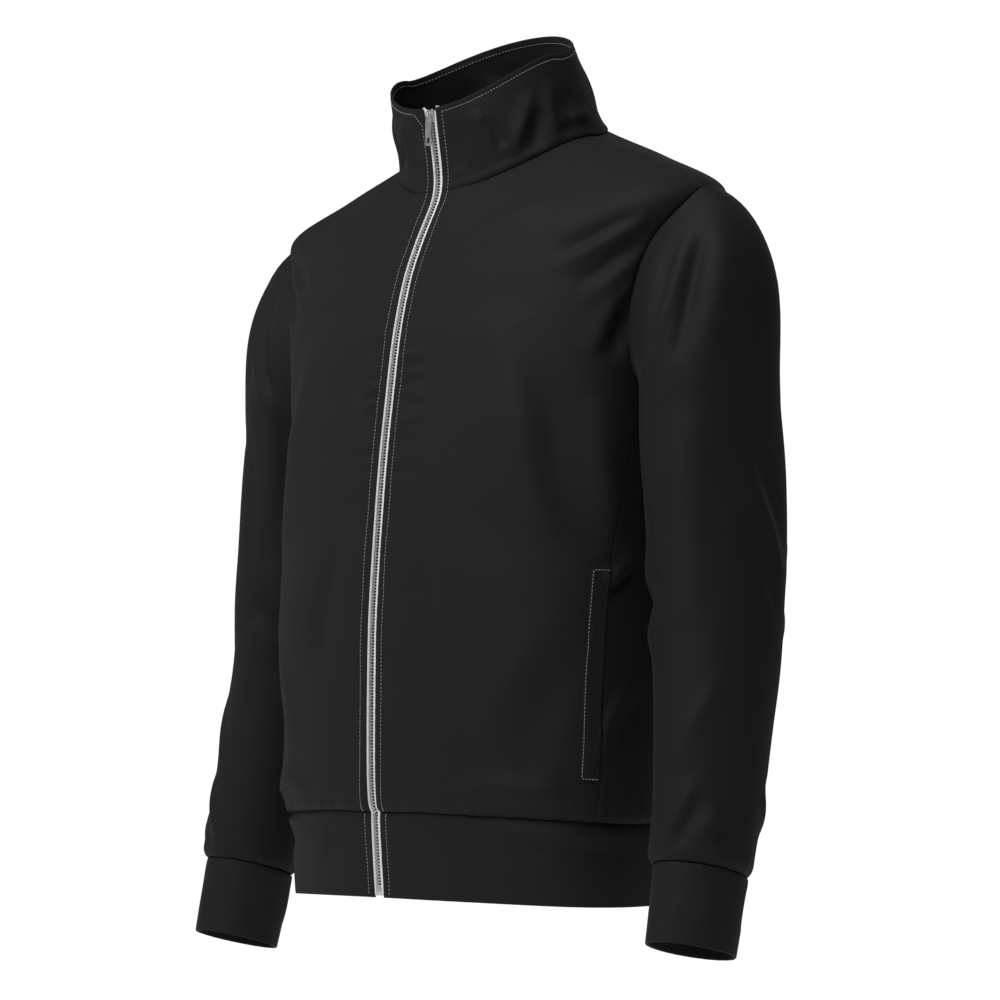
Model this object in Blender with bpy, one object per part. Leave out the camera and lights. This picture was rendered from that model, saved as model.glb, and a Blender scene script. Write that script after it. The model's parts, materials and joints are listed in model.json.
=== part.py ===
"""Track jacket, filled out as if worn, built from its cut.

Its cloth is two fronts, a back, a collar, a waistband, two sleeves, two cuffs and two pocket welts.

Metres, +Z up, the wearer faces -Y and the wearer's left is +X. The origin is the base of the neck between the
shoulders. Every cloth piece is a hollow wall made from rings or sections, and pieces stand GAP apart at seams.
The pull tab hangs from the slider's bridge and turns about PIVOT, along X.
"""

import math

import bmesh
import bpy
import numpy as np

GAP = 0.0003
BODY_WALL = 0.0020
DOUBLE_WALL = 0.0024

ZIP_HALF = 0.0053
TAPE_IN = 0.0004
TAPE_OUT = 0.0120
TAPE_DEPTH = 0.0031
TAPE_THICK = 0.0008
CHAIN_HALF = 0.0024
CHAIN_DEPTH = 0.0008
CHAIN_THICK = 0.0014

# The body as closed rings. The columns are z_front, z_side, z_back, half_width, y_front, y_side, y_back, square
# and seam: z and y at the centre front, at the widest place and at the centre back, half the width, how square
# the ring is (2 is an ellipse), and where the side or shoulder seam lies, in degrees from the centre front.
RINGS = (
    (-0.5670, -0.5770, -0.5730, 0.1800, -0.1290, 0.000, 0.118, 2.35, 72.0),
    (-0.5600, -0.5695, -0.5650, 0.1850, -0.1325, 0.000, 0.122, 2.40, 72.3),
    (-0.5300, -0.5380, -0.5340, 0.1875, -0.1345, 0.000, 0.122, 2.45, 73.0),
    (-0.4700, -0.4730, -0.4710, 0.1885, -0.1345, 0.001, 0.116, 2.50, 73.5),
    (-0.4050, -0.4050, -0.4030, 0.1895, -0.1330, 0.003, 0.112, 2.55, 74.0),
    (-0.3400, -0.3380, -0.3350, 0.1905, -0.1280, 0.006, 0.116, 2.65, 75.5),
    (-0.2750, -0.2680, -0.2640, 0.1910, -0.1215, 0.010, 0.124, 2.75, 79.5),
    (-0.2250, -0.2120, -0.2040, 0.1930, -0.1145, 0.014, 0.129, 2.75, 85.0),
    (-0.1650, -0.1500, -0.1400, 0.2020, -0.1050, 0.018, 0.131, 2.60, 87.0),
    (-0.1150, -0.0950, -0.0850, 0.2150, -0.0920, 0.023, 0.129, 2.40, 88.0),
    (-0.0800, -0.0470, -0.0370, 0.2370, -0.0770, 0.028, 0.122, 2.20, 89.0),
    (-0.0560, -0.0150, 0.0020, 0.1720, -0.0640, 0.032, 0.113, 2.05, 89.0),
    (-0.0368, 0.0110, 0.0360, 0.1020, -0.0517, 0.032, 0.101, 2.00, 89.0),
)
ARMPIT, SHOULDER, NECK = 7.0, 10.0, 12.0
# How far the armhole cuts into the front and into the back, in degrees.
BITE_FRONT, BITE_BACK = 13.0, 17.0
LOOP_STEPS = 12

# The waistband and the collar are rings too, with the same columns.
WAISTBAND = (
    (-0.5677, -0.5777, -0.5737, 0.1792, -0.1284, 0.000, 0.1172, 2.35, 72.0),
    (-0.5750, -0.5845, -0.5805, 0.1805, -0.1290, 0.000, 0.1180, 2.35, 72.0),
    (-0.6050, -0.6120, -0.6090, 0.1805, -0.1270, 0.000, 0.1175, 2.32, 72.0),
    (-0.6390, -0.6450, -0.6420, 0.1790, -0.1241, 0.000, 0.1160, 2.30, 72.0),
)
COLLAR = (
    (-0.0362, 0.0117, 0.0368, 0.1020, -0.0517, 0.0320, 0.1010, 2.00, 89.0),
    (-0.0190, 0.0275, 0.0550, 0.0985, -0.0548, 0.0220, 0.0915, 2.00, 89.0),
    (0.0100, 0.0550, 0.0860, 0.0940, -0.0600, 0.0100, 0.0760, 2.05, 89.0),
    (0.0356, 0.0800, 0.1150, 0.0905, -0.0640, 0.0000, 0.0630, 2.10, 89.0),
)

# The sleeve below its head, as sections down the arm. The columns are x, y, z, across and deep: the centre, half
# the width across and half the depth from front to back.
ARM = (
    (0.2400, 0.0250, -0.2350, 0.0470, 0.0700),
    (0.2415, 0.0260, -0.2900, 0.0475, 0.0720),
    (0.2440, 0.0245, -0.3450, 0.0475, 0.0700),
    (0.2476, 0.0205, -0.3900, 0.0470, 0.0670),
    (0.2528, 0.0140, -0.4400, 0.0460, 0.0625),
    (0.2580, 0.0035, -0.4900, 0.0440, 0.0570),
    (0.2628, -0.0095, -0.5500, 0.0410, 0.0515),
    (0.2654, -0.0190, -0.5900, 0.0395, 0.0480),
    (0.2660, -0.0225, -0.6050, 0.0385, 0.0470),
    (0.2662, -0.0242, -0.6120, 0.0355, 0.0430),
)
# The cuff runs straight on from there. The columns are far, across and deep: far is how far down it goes.
CUFF = (
    (0.0003, 0.0352, 0.0427),
    (0.0080, 0.0356, 0.0431),
    (0.0360, 0.0350, 0.0415),
    (0.0650, 0.0340, 0.0400),
)
# How much lower each wrist hangs than the table says.
ARM_DROP = {"left": 0.0, "right": 0.0125}
CAP_STEPS = 7

WELT_TOP, WELT_BOTTOM, WELT_WIDTH = -0.367, -0.540, 0.0180
WELT_THICK = 0.0008

SLIDER_Z = 0.0300
BRIDGE_IN, BRIDGE_OUT, BRIDGE_HALF = 0.0012, 0.0023, 0.0010
BAR_RADIUS = 0.0006
PLATE_TOP = 0.0010
TAB_LENGTH, TAB_HALF, TAB_THICK = 0.0270, 0.0033, 0.0010
CHAIN_LOW, BOX_LOW = -0.6290, -0.6375


def clear_scene():
    for obj in list(bpy.data.objects):
        bpy.data.objects.remove(obj, do_unlink=True)


def smooth(table, v):
    """Row v of a table, between its rows along a smooth curve that passes through each of them."""
    rows = np.asarray(table, float)
    v = float(np.clip(v, 0, len(rows) - 1))
    i = min(int(v), len(rows) - 2)
    t = v - i
    a, b = rows[i], rows[i + 1]
    before = rows[i - 1] if i else 2 * a - b
    after = rows[i + 2] if i + 2 < len(rows) else 2 * b - a
    ta, tb = (b - before) / 2, (after - a) / 2
    near, far = (1 - t) ** 2, t * t
    return a * (1 + 2 * t) * near + ta * t * near + b * far * (3 - 2 * t) + tb * far * (t - 1)


def quarter(row, back):
    """Half a side of one ring, from the centre line to the widest place, spaced evenly along its length."""
    z_front, z_side, z_back, half_width, y_front, y_side, y_back, square, _ = row
    turn = np.linspace(0, math.pi / 2, 181)
    across = np.sin(turn) ** (2 / square)
    along = np.cos(turn) ** (2 / square)
    y_end, z_end = (y_back, z_back) if back else (y_front, z_front)
    rise = np.cos(turn) ** (1.3 if back else 1.6)
    points = np.stack(
        [half_width * across, y_side + (y_end - y_side) * along, z_side + (z_end - z_side) * rise],
        axis=1,
    )
    steps = np.linalg.norm(np.diff(points, axis=0), axis=1)
    length = np.concatenate([[0], np.cumsum(steps)])
    return points, length


def on_ring(row, degrees):
    """A point of a ring: 0 is the centre front, 90 the wearer's left side, 180 the centre back, -90 the right."""
    turned = (degrees + 180) % 360 - 180
    side = abs(turned)
    back = side > 90
    points, length = quarter(row, back)
    share = (180 - side if back else side) / 90 * length[-1]
    x, y, z = (np.interp(share, length, points[:, k]) for k in range(3))
    return np.array([-x if turned < 0 else x, y, z])


def on_table(table, v, degrees):
    return on_ring(smooth(table, v), degrees)


def normal_of(table, v, degrees):
    """The way out of a ring surface at one place."""
    top = len(table) - 1
    low, high = max(v - 0.05, 0), min(v + 0.05, top)
    up = on_table(table, high, degrees) - on_table(table, low, degrees)
    turn = on_table(table, v, degrees + 0.8) - on_table(table, v, degrees - 0.8)
    out = np.cross(turn, up)
    return out / np.linalg.norm(out)


def seam(v):
    return smooth(RINGS, v)[8]


def seam_share(row):
    """Half a seam gap, in degrees of a ring."""
    return GAP / 2 / (quarter(row, False)[1][-1] / 90)


def bite(v, widest):
    """How far the armhole cuts into a panel at one level, in degrees."""
    share = (v - ARMPIT) / (SHOULDER - ARMPIT)
    if not 0 < share < 1:
        return 0.0
    return widest * math.sqrt(1 - (2 * share - 1) ** 2) * (1.12 - 0.24 * share)


def levels():
    """The levels of the panels' rows, which meet the armhole at even steps of its own turn."""
    below = [0, 0.5, 1, 2, 3, 4, 5, 6, 6.6]
    turns = [math.pi * k / LOOP_STEPS for k in range(LOOP_STEPS + 1)]
    beside = [ARMPIT + (SHOULDER - ARMPIT) * (1 - math.cos(turn)) / 2 for turn in turns]
    return below + beside + [10.5, 11, NECK]


def zip_edge(row):
    """Where a front edge stands beside the zip, in degrees of a ring."""
    return ZIP_HALF / (quarter(row, False)[1][-1] / 90)


def solid(name, points, faces, slot):
    mesh = bpy.data.meshes.new(name)
    mesh.from_pydata([tuple(float(c) for c in p) for p in points], [], faces)
    mesh.validate()
    obj = bpy.data.objects.new(name, mesh)
    bpy.context.scene.collection.objects.link(obj)
    obj.data.materials.append(material(slot))
    return obj


def material(slot):
    color, metallic, rough = MATERIALS[slot]
    found = bpy.data.materials.get(slot)
    if found:
        return found
    made = bpy.data.materials.new(slot)
    made.use_nodes = True
    shader = made.node_tree.nodes["Principled BSDF"]
    shader.inputs["Base Color"].default_value = (*color, 1)
    shader.inputs["Metallic"].default_value = metallic
    shader.inputs["Roughness"].default_value = rough
    return made


MATERIALS = {
    "shell_knit": ((0.012, 0.012, 0.013), 0.0, 0.7),
    "zip_tape": ((0.80, 0.80, 0.80), 0.0, 0.8),
    "zip_metal": ((0.62, 0.62, 0.63), 1.0, 0.35),
}


def wall(name, outer, normals, thick, slot, closed=False):
    """A closed wall from a grid of outer points, thickened inwards. A closed grid's last column joins its first."""
    rows, cols = len(outer), len(outer[0])
    outer = np.asarray(outer, float).reshape(-1, 3)
    inner = outer - thick * np.asarray(normals, float).reshape(-1, 3)
    points = np.concatenate([outer, inner])
    half = rows * cols
    faces = []
    for r in range(rows - 1):
        for c in range(cols if closed else cols - 1):
            a, b = r * cols + c, r * cols + (c + 1) % cols
            d, e = a + cols, b + cols
            faces.append((a, b, e, d))
            faces.append((half + a, half + d, half + e, half + b))
    for c in range(cols if closed else cols - 1):
        a, b = c, (c + 1) % cols
        faces.append((a, half + a, half + b, b))
        a, b = a + (rows - 1) * cols, b + (rows - 1) * cols
        faces.append((a, b, half + b, half + a))
    if not closed:
        for r in range(rows - 1):
            a, d = r * cols, (r + 1) * cols
            faces.append((a, d, half + d, half + a))
            a, d = a + cols - 1, d + cols - 1
            faces.append((a, half + a, half + d, d))
    return face_out(solid(name, points, faces, slot))


def mirrored(grid, side):
    return np.asarray(grid, float) * np.array([side, 1, 1])


def hung(grid, drop):
    """An arm's points let down by a share of drop that grows from the armpit to the wrist."""
    lowered = np.array(grid, float)
    top, wrist = ARM[0][2], ARM[-1][2]
    lowered[..., 2] -= drop * np.clip((top - lowered[..., 2]) / (top - wrist), 0, None)
    return lowered


def arm_section(row, angles, axis):
    """A sleeve section round its own axis: 0 is the outer side of the arm, 90 the front, 180 the body's side."""
    x, y, z, across, deep = row
    axis = axis / np.linalg.norm(axis)
    out = np.array([1.0, 0, 0]) - axis[0] * axis
    out /= np.linalg.norm(out)
    front = np.cross(axis, out)
    front = front if front[1] < 0 else -front
    c, s = np.cos(angles), np.sin(angles)
    return np.array([x, y, z]) + across * c[:, None] * out + deep * s[:, None] * front


def arm_axis(table, v):
    low, high = max(v - 0.3, 0), min(v + 0.3, len(table) - 1)
    return smooth(table, high)[:3] - smooth(table, low)[:3]


def arm_rings(table, steps, angles):
    return np.array([arm_section(smooth(table, v), angles, arm_axis(table, v)) for v in steps])


def armhole():
    """The left armhole, from the shoulder down its front and up its back: points, the panels' way out there."""
    points, out = [], []
    for k in range(2 * LOOP_STEPS):
        turn = math.pi * k / LOOP_STEPS
        v = ARMPIT + (SHOULDER - ARMPIT) * (1 + math.cos(turn)) / 2
        degrees = seam(v) + (-bite(v, BITE_FRONT) if k <= LOOP_STEPS else bite(v, BITE_BACK))
        points.append(on_table(RINGS, v, degrees))
        out.append(normal_of(RINGS, v, degrees))
    return np.array(points), np.array(out)


def unit(vectors):
    return vectors / np.linalg.norm(vectors, axis=-1, keepdims=True)


def grid_normals(grid):
    """The way out of a closed tube of rings that runs down an arm."""
    along = np.gradient(grid, axis=0)
    around = np.roll(grid, -1, axis=1) - np.roll(grid, 1, axis=1)
    return unit(np.cross(around, along))


def sleeve_grid():
    """The left sleeve's outer points, from the armhole over the sleeve head and down to the cuff seam."""
    loop, panel_out = armhole()
    angles = np.array([math.pi * k / LOOP_STEPS for k in range(2 * LOOP_STEPS)])
    first = arm_section(smooth(ARM, 0), angles, arm_axis(ARM, 0))
    c, s = np.cos(angles), np.sin(angles)
    start = unit(np.stack([0.80 + 0.1 * c, -0.45 * s, -0.30 - 0.10 * c], axis=1))
    down = unit(arm_axis(ARM, 0))
    span = np.linalg.norm(first - loop, axis=1)[:, None]
    along_loop = np.roll(loop, -1, axis=0) - np.roll(loop, 1, axis=0)
    cap = []
    for k in range(CAP_STEPS):
        t = k / CAP_STEPS
        ring = (
            loop * (1 + 2 * t) * (1 - t) ** 2
            + (1.05 + 0.15 * c[:, None]) * span * start * t * (1 - t) ** 2
            + first * t * t * (3 - 2 * t)
            + 0.9 * span * down * t * t * (t - 1)
        )
        cap.append(ring)
    steps = [0, 1, 2, 2.5, 3, 3.5, 4, 5, 6, 7, 7.6, 8, 8.5, 9]
    grid = np.concatenate([np.array(cap), arm_rings(ARM, steps, angles)])
    normals = grid_normals(grid)
    edge = unit(normals[0] + panel_out)
    away = unit(np.cross(along_loop, edge))
    away *= np.sign(np.sum(away * start, axis=1))[:, None]
    grid[0] += GAP * away
    normals[0] = edge
    normals[1] = unit(normals[1] + 0.4 * edge)
    return grid, normals, edge


def panel(start, end, columns, back_edge):
    """The left front or half the back: start and end give a row's two edges in degrees."""
    place = 0 if back_edge else -1
    grid, normals = [], []
    for v in levels():
        row = smooth(RINGS, v)
        spread = np.linspace(start(v, row), end(v, row), columns + 1)
        grid.append([on_ring(row, d) for d in spread])
        line = [normal_of(RINGS, v, d) for d in spread]
        share = (v - ARMPIT) / (SHOULDER - ARMPIT)
        if -1e-9 <= share <= 1 + 1e-9:
            k = int(round(math.acos(max(-1, min(1, 2 * share - 1))) / math.pi * LOOP_STEPS))
            line[place] = EDGE_OUT[(-k if back_edge else k) % (2 * LOOP_STEPS)]
        normals.append(line)
    return np.array(grid), np.array(normals)


def tube(name, table, steps, columns, thick, slot):
    """A band that runs all round the body and is open at the zip."""
    grid, normals = [], []
    for v in steps:
        row = smooth(table, v)
        edge = zip_edge(row)
        left, right = np.linspace(edge, 90, columns // 4 + 1), np.linspace(270, 360 - edge, columns // 4 + 1)
        spread = np.concatenate([left[:-1], np.linspace(90, 270, columns // 2 + 1)[:-1], right])
        grid.append([on_ring(row, d) for d in spread])
        normals.append([normal_of(table, v, d) for d in spread])
    return wall(name, grid, normals, thick, slot)


def zip_stations():
    """Places down the centre front, from the hem to the top of the collar."""
    body = (0.2, 0.6, 1, 1.5, 2, 3, 4, 5, 6, 7, 7.5, 8, 8.5, 9, 9.5, 10, 10.5, 11, 11.5)
    stations = [(WAISTBAND, v) for v in (2.97, 2, 1, 0.5)] + [(RINGS, v) for v in body]
    return stations + [(COLLAR, v) for v in (0, 0.75, 1.5, 2.25, 2.95)]


def zip_line():
    """The centre front's points and the way out there."""
    points = np.array([on_table(table, v, 0.0) for table, v in zip_stations()])
    reach = np.arange(len(points))
    high, low = np.minimum(reach + 2, len(points) - 1), np.maximum(reach - 2, 0)
    up = unit(points[high] - points[low])
    return points, unit(np.stack([np.zeros(len(up)), -up[:, 2], up[:, 1]], axis=1))


def tape(name, side):
    """One side of the zip's tape, from the rings' points moved in behind the front edge."""
    grid, normals = [], []
    for (table, v), out in zip(zip_stations(), zip_line()[1]):
        row = smooth(table, v)
        per_degree = quarter(row, False)[1][-1] / 90
        spread = [x / per_degree for x in np.linspace(TAPE_IN, TAPE_OUT, 3)]
        grid.append(np.array([on_ring(row, d) for d in spread]) - TAPE_DEPTH * out)
        normals.append([out] * len(spread))
    wall(name, mirrored(grid, side), mirrored(normals, side), TAPE_THICK, "zip_tape")


def strip(name, points, out, half, depth, thick, slot):
    """A flat strip down the zip, half wide each way, its face depth below the cloth's face."""
    grid = [[p - depth * n + np.array([x, 0, 0]) for x in (-half, half)] for p, n in zip(points, out)]
    normals = [[n, n] for n in out]
    return wall(name, grid, normals, thick, slot)


def height_on(points, z):
    """The share of the way along the zip's points at one height."""
    return float(np.interp(z, points[:, 2], np.arange(len(points))))


def along(points, out, z_low, z_high):
    """The zip's points between two heights, with one at each end."""
    low, high = height_on(points, z_low), height_on(points, z_high)
    spots = [low, *(k for k in range(len(points)) if low + 0.1 < k < high - 0.1), high]
    index = np.arange(len(points))
    path = np.stack([np.interp(spots, index, points[:, k]) for k in range(3)], axis=1)
    way = np.stack([np.interp(spots, index, out[:, k]) for k in range(3)], axis=1)
    return path, unit(way)


def rod(name, radius, half_width, origin, slot, sides=24):
    """A round bar along X."""
    turn = np.arange(sides) * 2 * math.pi / sides
    circle = np.stack([np.zeros(sides), radius * np.cos(turn), radius * np.sin(turn)], axis=1)
    points = np.concatenate([origin + circle + np.array([x, 0, 0]) for x in (-half_width, half_width)])
    faces = [tuple(range(sides)), tuple(range(2 * sides - 1, sides - 1, -1))]
    faces += [(k, k + sides, (k + 1) % sides + sides, (k + 1) % sides) for k in range(sides)]
    return face_out(solid(name, points, faces, slot))


def block(name, origin, up, out, along_up, across, along_out, slot):
    """A box on a slanted face: spans along up, across X and along out."""
    points = []
    for u in along_up:
        for x in across:
            for o in along_out:
                points.append(origin + u * up + np.array([x, 0, 0]) + o * out)
    faces = [(0, 1, 3, 2), (4, 6, 7, 5), (0, 4, 5, 1), (2, 3, 7, 6), (0, 2, 6, 4), (1, 5, 7, 3)]
    return face_out(solid(name, points, faces, slot))


def helper(obj):
    obj.hide_render = True
    obj.display_type = "WIRE"
    return obj


def combine(target, tool, operation):
    made = target.modifiers.new(tool.name, "BOOLEAN")
    made.operation = operation
    made.solver = "EXACT"
    made.object = helper(tool)


def face_out(obj):
    """Turns every face of a closed mesh outwards."""
    work = bmesh.new()
    work.from_mesh(obj.data)
    bmesh.ops.recalc_face_normals(work, faces=work.faces)
    work.to_mesh(obj.data)
    work.free()
    return obj


def front_end(v, row):
    return row[8] - (bite(v, BITE_FRONT) or seam_share(row))


def back_start(v, row):
    return row[8] + (bite(v, BITE_BACK) or seam_share(row))


def welt(side, name):
    """The pocket's welt: a thin strip on the front beside the side seam, from the front's points moved out."""
    tries = np.linspace(0.5, 6.5, 61)
    heights = [on_table(RINGS, v, seam(v) - 4)[2] for v in tries]
    grid, normals = [], []
    for z in np.linspace(WELT_BOTTOM, WELT_TOP, 9):
        v = float(np.interp(z, heights, tries))
        row = smooth(RINGS, v)
        wide = WELT_WIDTH / (quarter(row, False)[1][-1] / 90)
        spread = np.linspace(seam(v) - wide, seam(v) - 2 * seam_share(row), 4)
        out = np.array([normal_of(RINGS, v, d) for d in spread])
        grid.append(np.array([on_ring(row, d) for d in spread]) + (GAP + WELT_THICK) * out)
        normals.append(out)
    wall(name, mirrored(grid, side), mirrored(normals, side), WELT_THICK, "shell_knit")


def build_cloth():
    front, front_out = panel(lambda v, row: zip_edge(row), front_end, 8, False)
    back, back_out = panel(back_start, lambda v, row: 180.0, 8, True)
    whole_back = np.concatenate([back, mirrored(back, -1)[:, -2::-1]], axis=1)
    whole_out = np.concatenate([back_out, mirrored(back_out, -1)[:, -2::-1]], axis=1)
    angles = np.array([math.pi * k / LOOP_STEPS for k in range(2 * LOOP_STEPS)])
    wrist, axis = smooth(ARM, len(ARM) - 1), unit(arm_axis(ARM, len(ARM) - 1))
    cuff = np.array([arm_section((*(wrist[:3] + far * axis), *size), angles, axis) for far, *size in CUFF])
    cuff_out = grid_normals(cuff)
    wall("back", whole_back, whole_out, BODY_WALL, "shell_knit")
    for side, name in ((1, "left"), (-1, "right")):
        sleeve, low_cuff = (mirrored(hung(grid, ARM_DROP[name]), side) for grid in (SLEEVE, cuff))
        wall(f"front_{name}", mirrored(front, side), mirrored(front_out, side), BODY_WALL, "shell_knit")
        wall(f"sleeve_{name}", sleeve, mirrored(SLEEVE_OUT, side), BODY_WALL, "shell_knit", True)
        wall(f"cuff_{name}", low_cuff, mirrored(cuff_out, side), DOUBLE_WALL, "shell_knit", True)
        welt(side, f"pocket_welt_{name}")
    tube("waistband", WAISTBAND, [0, 0.5, 1, 2, 3], 40, DOUBLE_WALL, "shell_knit")
    tube("collar", COLLAR, [0, 0.75, 1.5, 2.25, 3], 36, DOUBLE_WALL, "shell_knit")


def build_zip():
    points, out = zip_line()
    tape("zip_tape_left", 1)
    tape("zip_tape_right", -1)
    chain, chain_out = along(points, out, CHAIN_LOW, SLIDER_Z + 0.0035)
    strip("zip_chain", chain, chain_out, CHAIN_HALF, CHAIN_DEPTH, CHAIN_THICK, "zip_metal")
    path, way = along(points, out, BOX_LOW, CHAIN_LOW - 0.0005)
    up = unit(path[-1] - path[0])
    long = np.linalg.norm(path[-1] - path[0])
    block("zip_box", path[0], up, way[0], (0, long), (-0.0032, 0.0032), (-0.0022, -0.0002), "zip_metal")
    build_slider(points, out)


def build_slider(points, out):
    """The slider with its bridge, and the pull tab hanging straight down from it."""
    path, way = along(points, out, SLIDER_Z, SLIDER_Z + 0.001)
    up, face = unit(path[-1] - path[0]), way[0]
    low = -CHAIN_DEPTH - CHAIN_THICK
    plate = (-0.0062, 0.0048), (-0.0042, 0.0042), (-0.0005, PLATE_TOP)
    slider = block("slider", path[0], up, face, *plate, "zip_metal")
    for side in (1, -1):
        across = sorted((side * 0.0030, side * 0.0042))
        flange = block(f"flange_{side}", path[0], up, face, (-0.0058, 0.0044), across, (low, 0.0002), "zip_metal")
        combine(slider, flange, "UNION")
    pivot = path[0] + (PLATE_TOP + BRIDGE_OUT - 0.0003) * face
    combine(slider, rod("bridge", BRIDGE_OUT, BRIDGE_HALF, pivot, "zip_metal"), "UNION")
    combine(slider, rod("bridge_eye", BRIDGE_IN, 2 * BRIDGE_HALF, pivot, "zip_metal"), "DIFFERENCE")
    down, front = np.array([0, 0, -1.0]), np.array([0, -1.0, 0])
    half = TAB_THICK / 2
    outline = (-BAR_RADIUS, TAB_LENGTH), (-TAB_HALF, TAB_HALF), (-half, half)
    tab = block("pull_tab", pivot, down, front, *outline, "zip_metal")
    windows = {"window": (BAR_RADIUS, 0.0034, 0.0014), "grip_hole": (0.0200, 0.0250, 0.0017)}
    for name, (start, end, side) in windows.items():
        cutter = block(name, pivot, down, front, (start, end), (-side, side), (-2 * half, 2 * half), "zip_metal")
        combine(tab, cutter, "DIFFERENCE")


clear_scene()
SLEEVE, SLEEVE_OUT, EDGE_OUT = sleeve_grid()
build_cloth()
build_zip()
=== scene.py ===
"""Looks of the track jacket, in metres: creased cloth, the zip, stitching, materials, light and camera.

The tables and the ring and arm functions say the same form as the CAD. Cloth rides on body "jacket", and the
zip's pull tab on "pull_tab". -Y is the way the wearer faces and +X the wearer's left.
"""

import json
import math

import bmesh
import bpy
import numpy as np
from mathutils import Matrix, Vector
from mathutils.bvhtree import BVHTree
from mathutils.kdtree import KDTree


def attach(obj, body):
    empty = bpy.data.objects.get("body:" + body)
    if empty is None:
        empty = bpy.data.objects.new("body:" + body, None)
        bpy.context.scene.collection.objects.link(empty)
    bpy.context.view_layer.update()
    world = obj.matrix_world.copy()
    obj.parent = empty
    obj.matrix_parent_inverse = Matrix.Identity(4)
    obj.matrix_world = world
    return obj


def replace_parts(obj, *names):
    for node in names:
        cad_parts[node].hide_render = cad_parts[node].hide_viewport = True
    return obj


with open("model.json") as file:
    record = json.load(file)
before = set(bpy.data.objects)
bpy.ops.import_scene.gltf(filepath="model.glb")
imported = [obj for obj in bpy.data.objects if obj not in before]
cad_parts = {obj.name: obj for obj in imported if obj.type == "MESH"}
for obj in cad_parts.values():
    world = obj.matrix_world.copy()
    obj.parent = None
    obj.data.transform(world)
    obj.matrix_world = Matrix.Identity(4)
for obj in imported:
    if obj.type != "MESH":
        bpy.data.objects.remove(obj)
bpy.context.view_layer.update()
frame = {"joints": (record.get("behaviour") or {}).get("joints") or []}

# --- The form: the same tables as the CAD's ---------------------------------------------------------------
# Columns: z_front, z_side, z_back, half_width, y_front, y_side, y_back, square, seam.
RINGS = (
    (-0.5670, -0.5770, -0.5730, 0.1800, -0.1290, 0.000, 0.118, 2.35, 72.0),
    (-0.5600, -0.5695, -0.5650, 0.1850, -0.1325, 0.000, 0.122, 2.40, 72.3),
    (-0.5300, -0.5380, -0.5340, 0.1875, -0.1345, 0.000, 0.122, 2.45, 73.0),
    (-0.4700, -0.4730, -0.4710, 0.1885, -0.1345, 0.001, 0.116, 2.50, 73.5),
    (-0.4050, -0.4050, -0.4030, 0.1895, -0.1330, 0.003, 0.112, 2.55, 74.0),
    (-0.3400, -0.3380, -0.3350, 0.1905, -0.1280, 0.006, 0.116, 2.65, 75.5),
    (-0.2750, -0.2680, -0.2640, 0.1910, -0.1215, 0.010, 0.124, 2.75, 79.5),
    (-0.2250, -0.2120, -0.2040, 0.1930, -0.1145, 0.014, 0.129, 2.75, 85.0),
    (-0.1650, -0.1500, -0.1400, 0.2020, -0.1050, 0.018, 0.131, 2.60, 87.0),
    (-0.1150, -0.0950, -0.0850, 0.2150, -0.0920, 0.023, 0.129, 2.40, 88.0),
    (-0.0800, -0.0470, -0.0370, 0.2370, -0.0770, 0.028, 0.122, 2.20, 89.0),
    (-0.0560, -0.0150, 0.0020, 0.1720, -0.0640, 0.032, 0.113, 2.05, 89.0),
    (-0.0368, 0.0110, 0.0360, 0.1020, -0.0517, 0.032, 0.101, 2.00, 89.0),
)
ARMPIT, SHOULDER, NECK = 7.0, 10.0, 12.0
BITE_FRONT, BITE_BACK = 13.0, 17.0
WAISTBAND = (
    (-0.5677, -0.5777, -0.5737, 0.1792, -0.1284, 0.000, 0.1172, 2.35, 72.0),
    (-0.5750, -0.5845, -0.5805, 0.1805, -0.1290, 0.000, 0.1180, 2.35, 72.0),
    (-0.6050, -0.6120, -0.6090, 0.1805, -0.1270, 0.000, 0.1175, 2.32, 72.0),
    (-0.6390, -0.6450, -0.6420, 0.1790, -0.1241, 0.000, 0.1160, 2.30, 72.0),
)
COLLAR = (
    (-0.0362, 0.0117, 0.0368, 0.1020, -0.0517, 0.0320, 0.1010, 2.00, 89.0),
    (-0.0190, 0.0275, 0.0550, 0.0985, -0.0548, 0.0220, 0.0915, 2.00, 89.0),
    (0.0100, 0.0550, 0.0860, 0.0940, -0.0600, 0.0100, 0.0760, 2.05, 89.0),
    (0.0356, 0.0800, 0.1150, 0.0905, -0.0640, 0.0000, 0.0630, 2.10, 89.0),
)
# Columns: x, y, z, across, deep.
ARM = (
    (0.2400, 0.0250, -0.2350, 0.0470, 0.0700),
    (0.2415, 0.0260, -0.2900, 0.0475, 0.0720),
    (0.2440, 0.0245, -0.3450, 0.0475, 0.0700),
    (0.2476, 0.0205, -0.3900, 0.0470, 0.0670),
    (0.2528, 0.0140, -0.4400, 0.0460, 0.0625),
    (0.2580, 0.0035, -0.4900, 0.0440, 0.0570),
    (0.2628, -0.0095, -0.5500, 0.0410, 0.0515),
    (0.2654, -0.0190, -0.5900, 0.0395, 0.0480),
    (0.2660, -0.0225, -0.6050, 0.0385, 0.0470),
    (0.2662, -0.0242, -0.6120, 0.0355, 0.0430),
)
# Columns: far, across, deep.
CUFF = (
    (0.0003, 0.0352, 0.0427),
    (0.0080, 0.0356, 0.0431),
    (0.0360, 0.0350, 0.0415),
    (0.0650, 0.0340, 0.0400),
)
ARM_DROP = {"left": 0.0, "right": 0.0125}
SIDES = {"left": 1, "right": -1}

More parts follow.
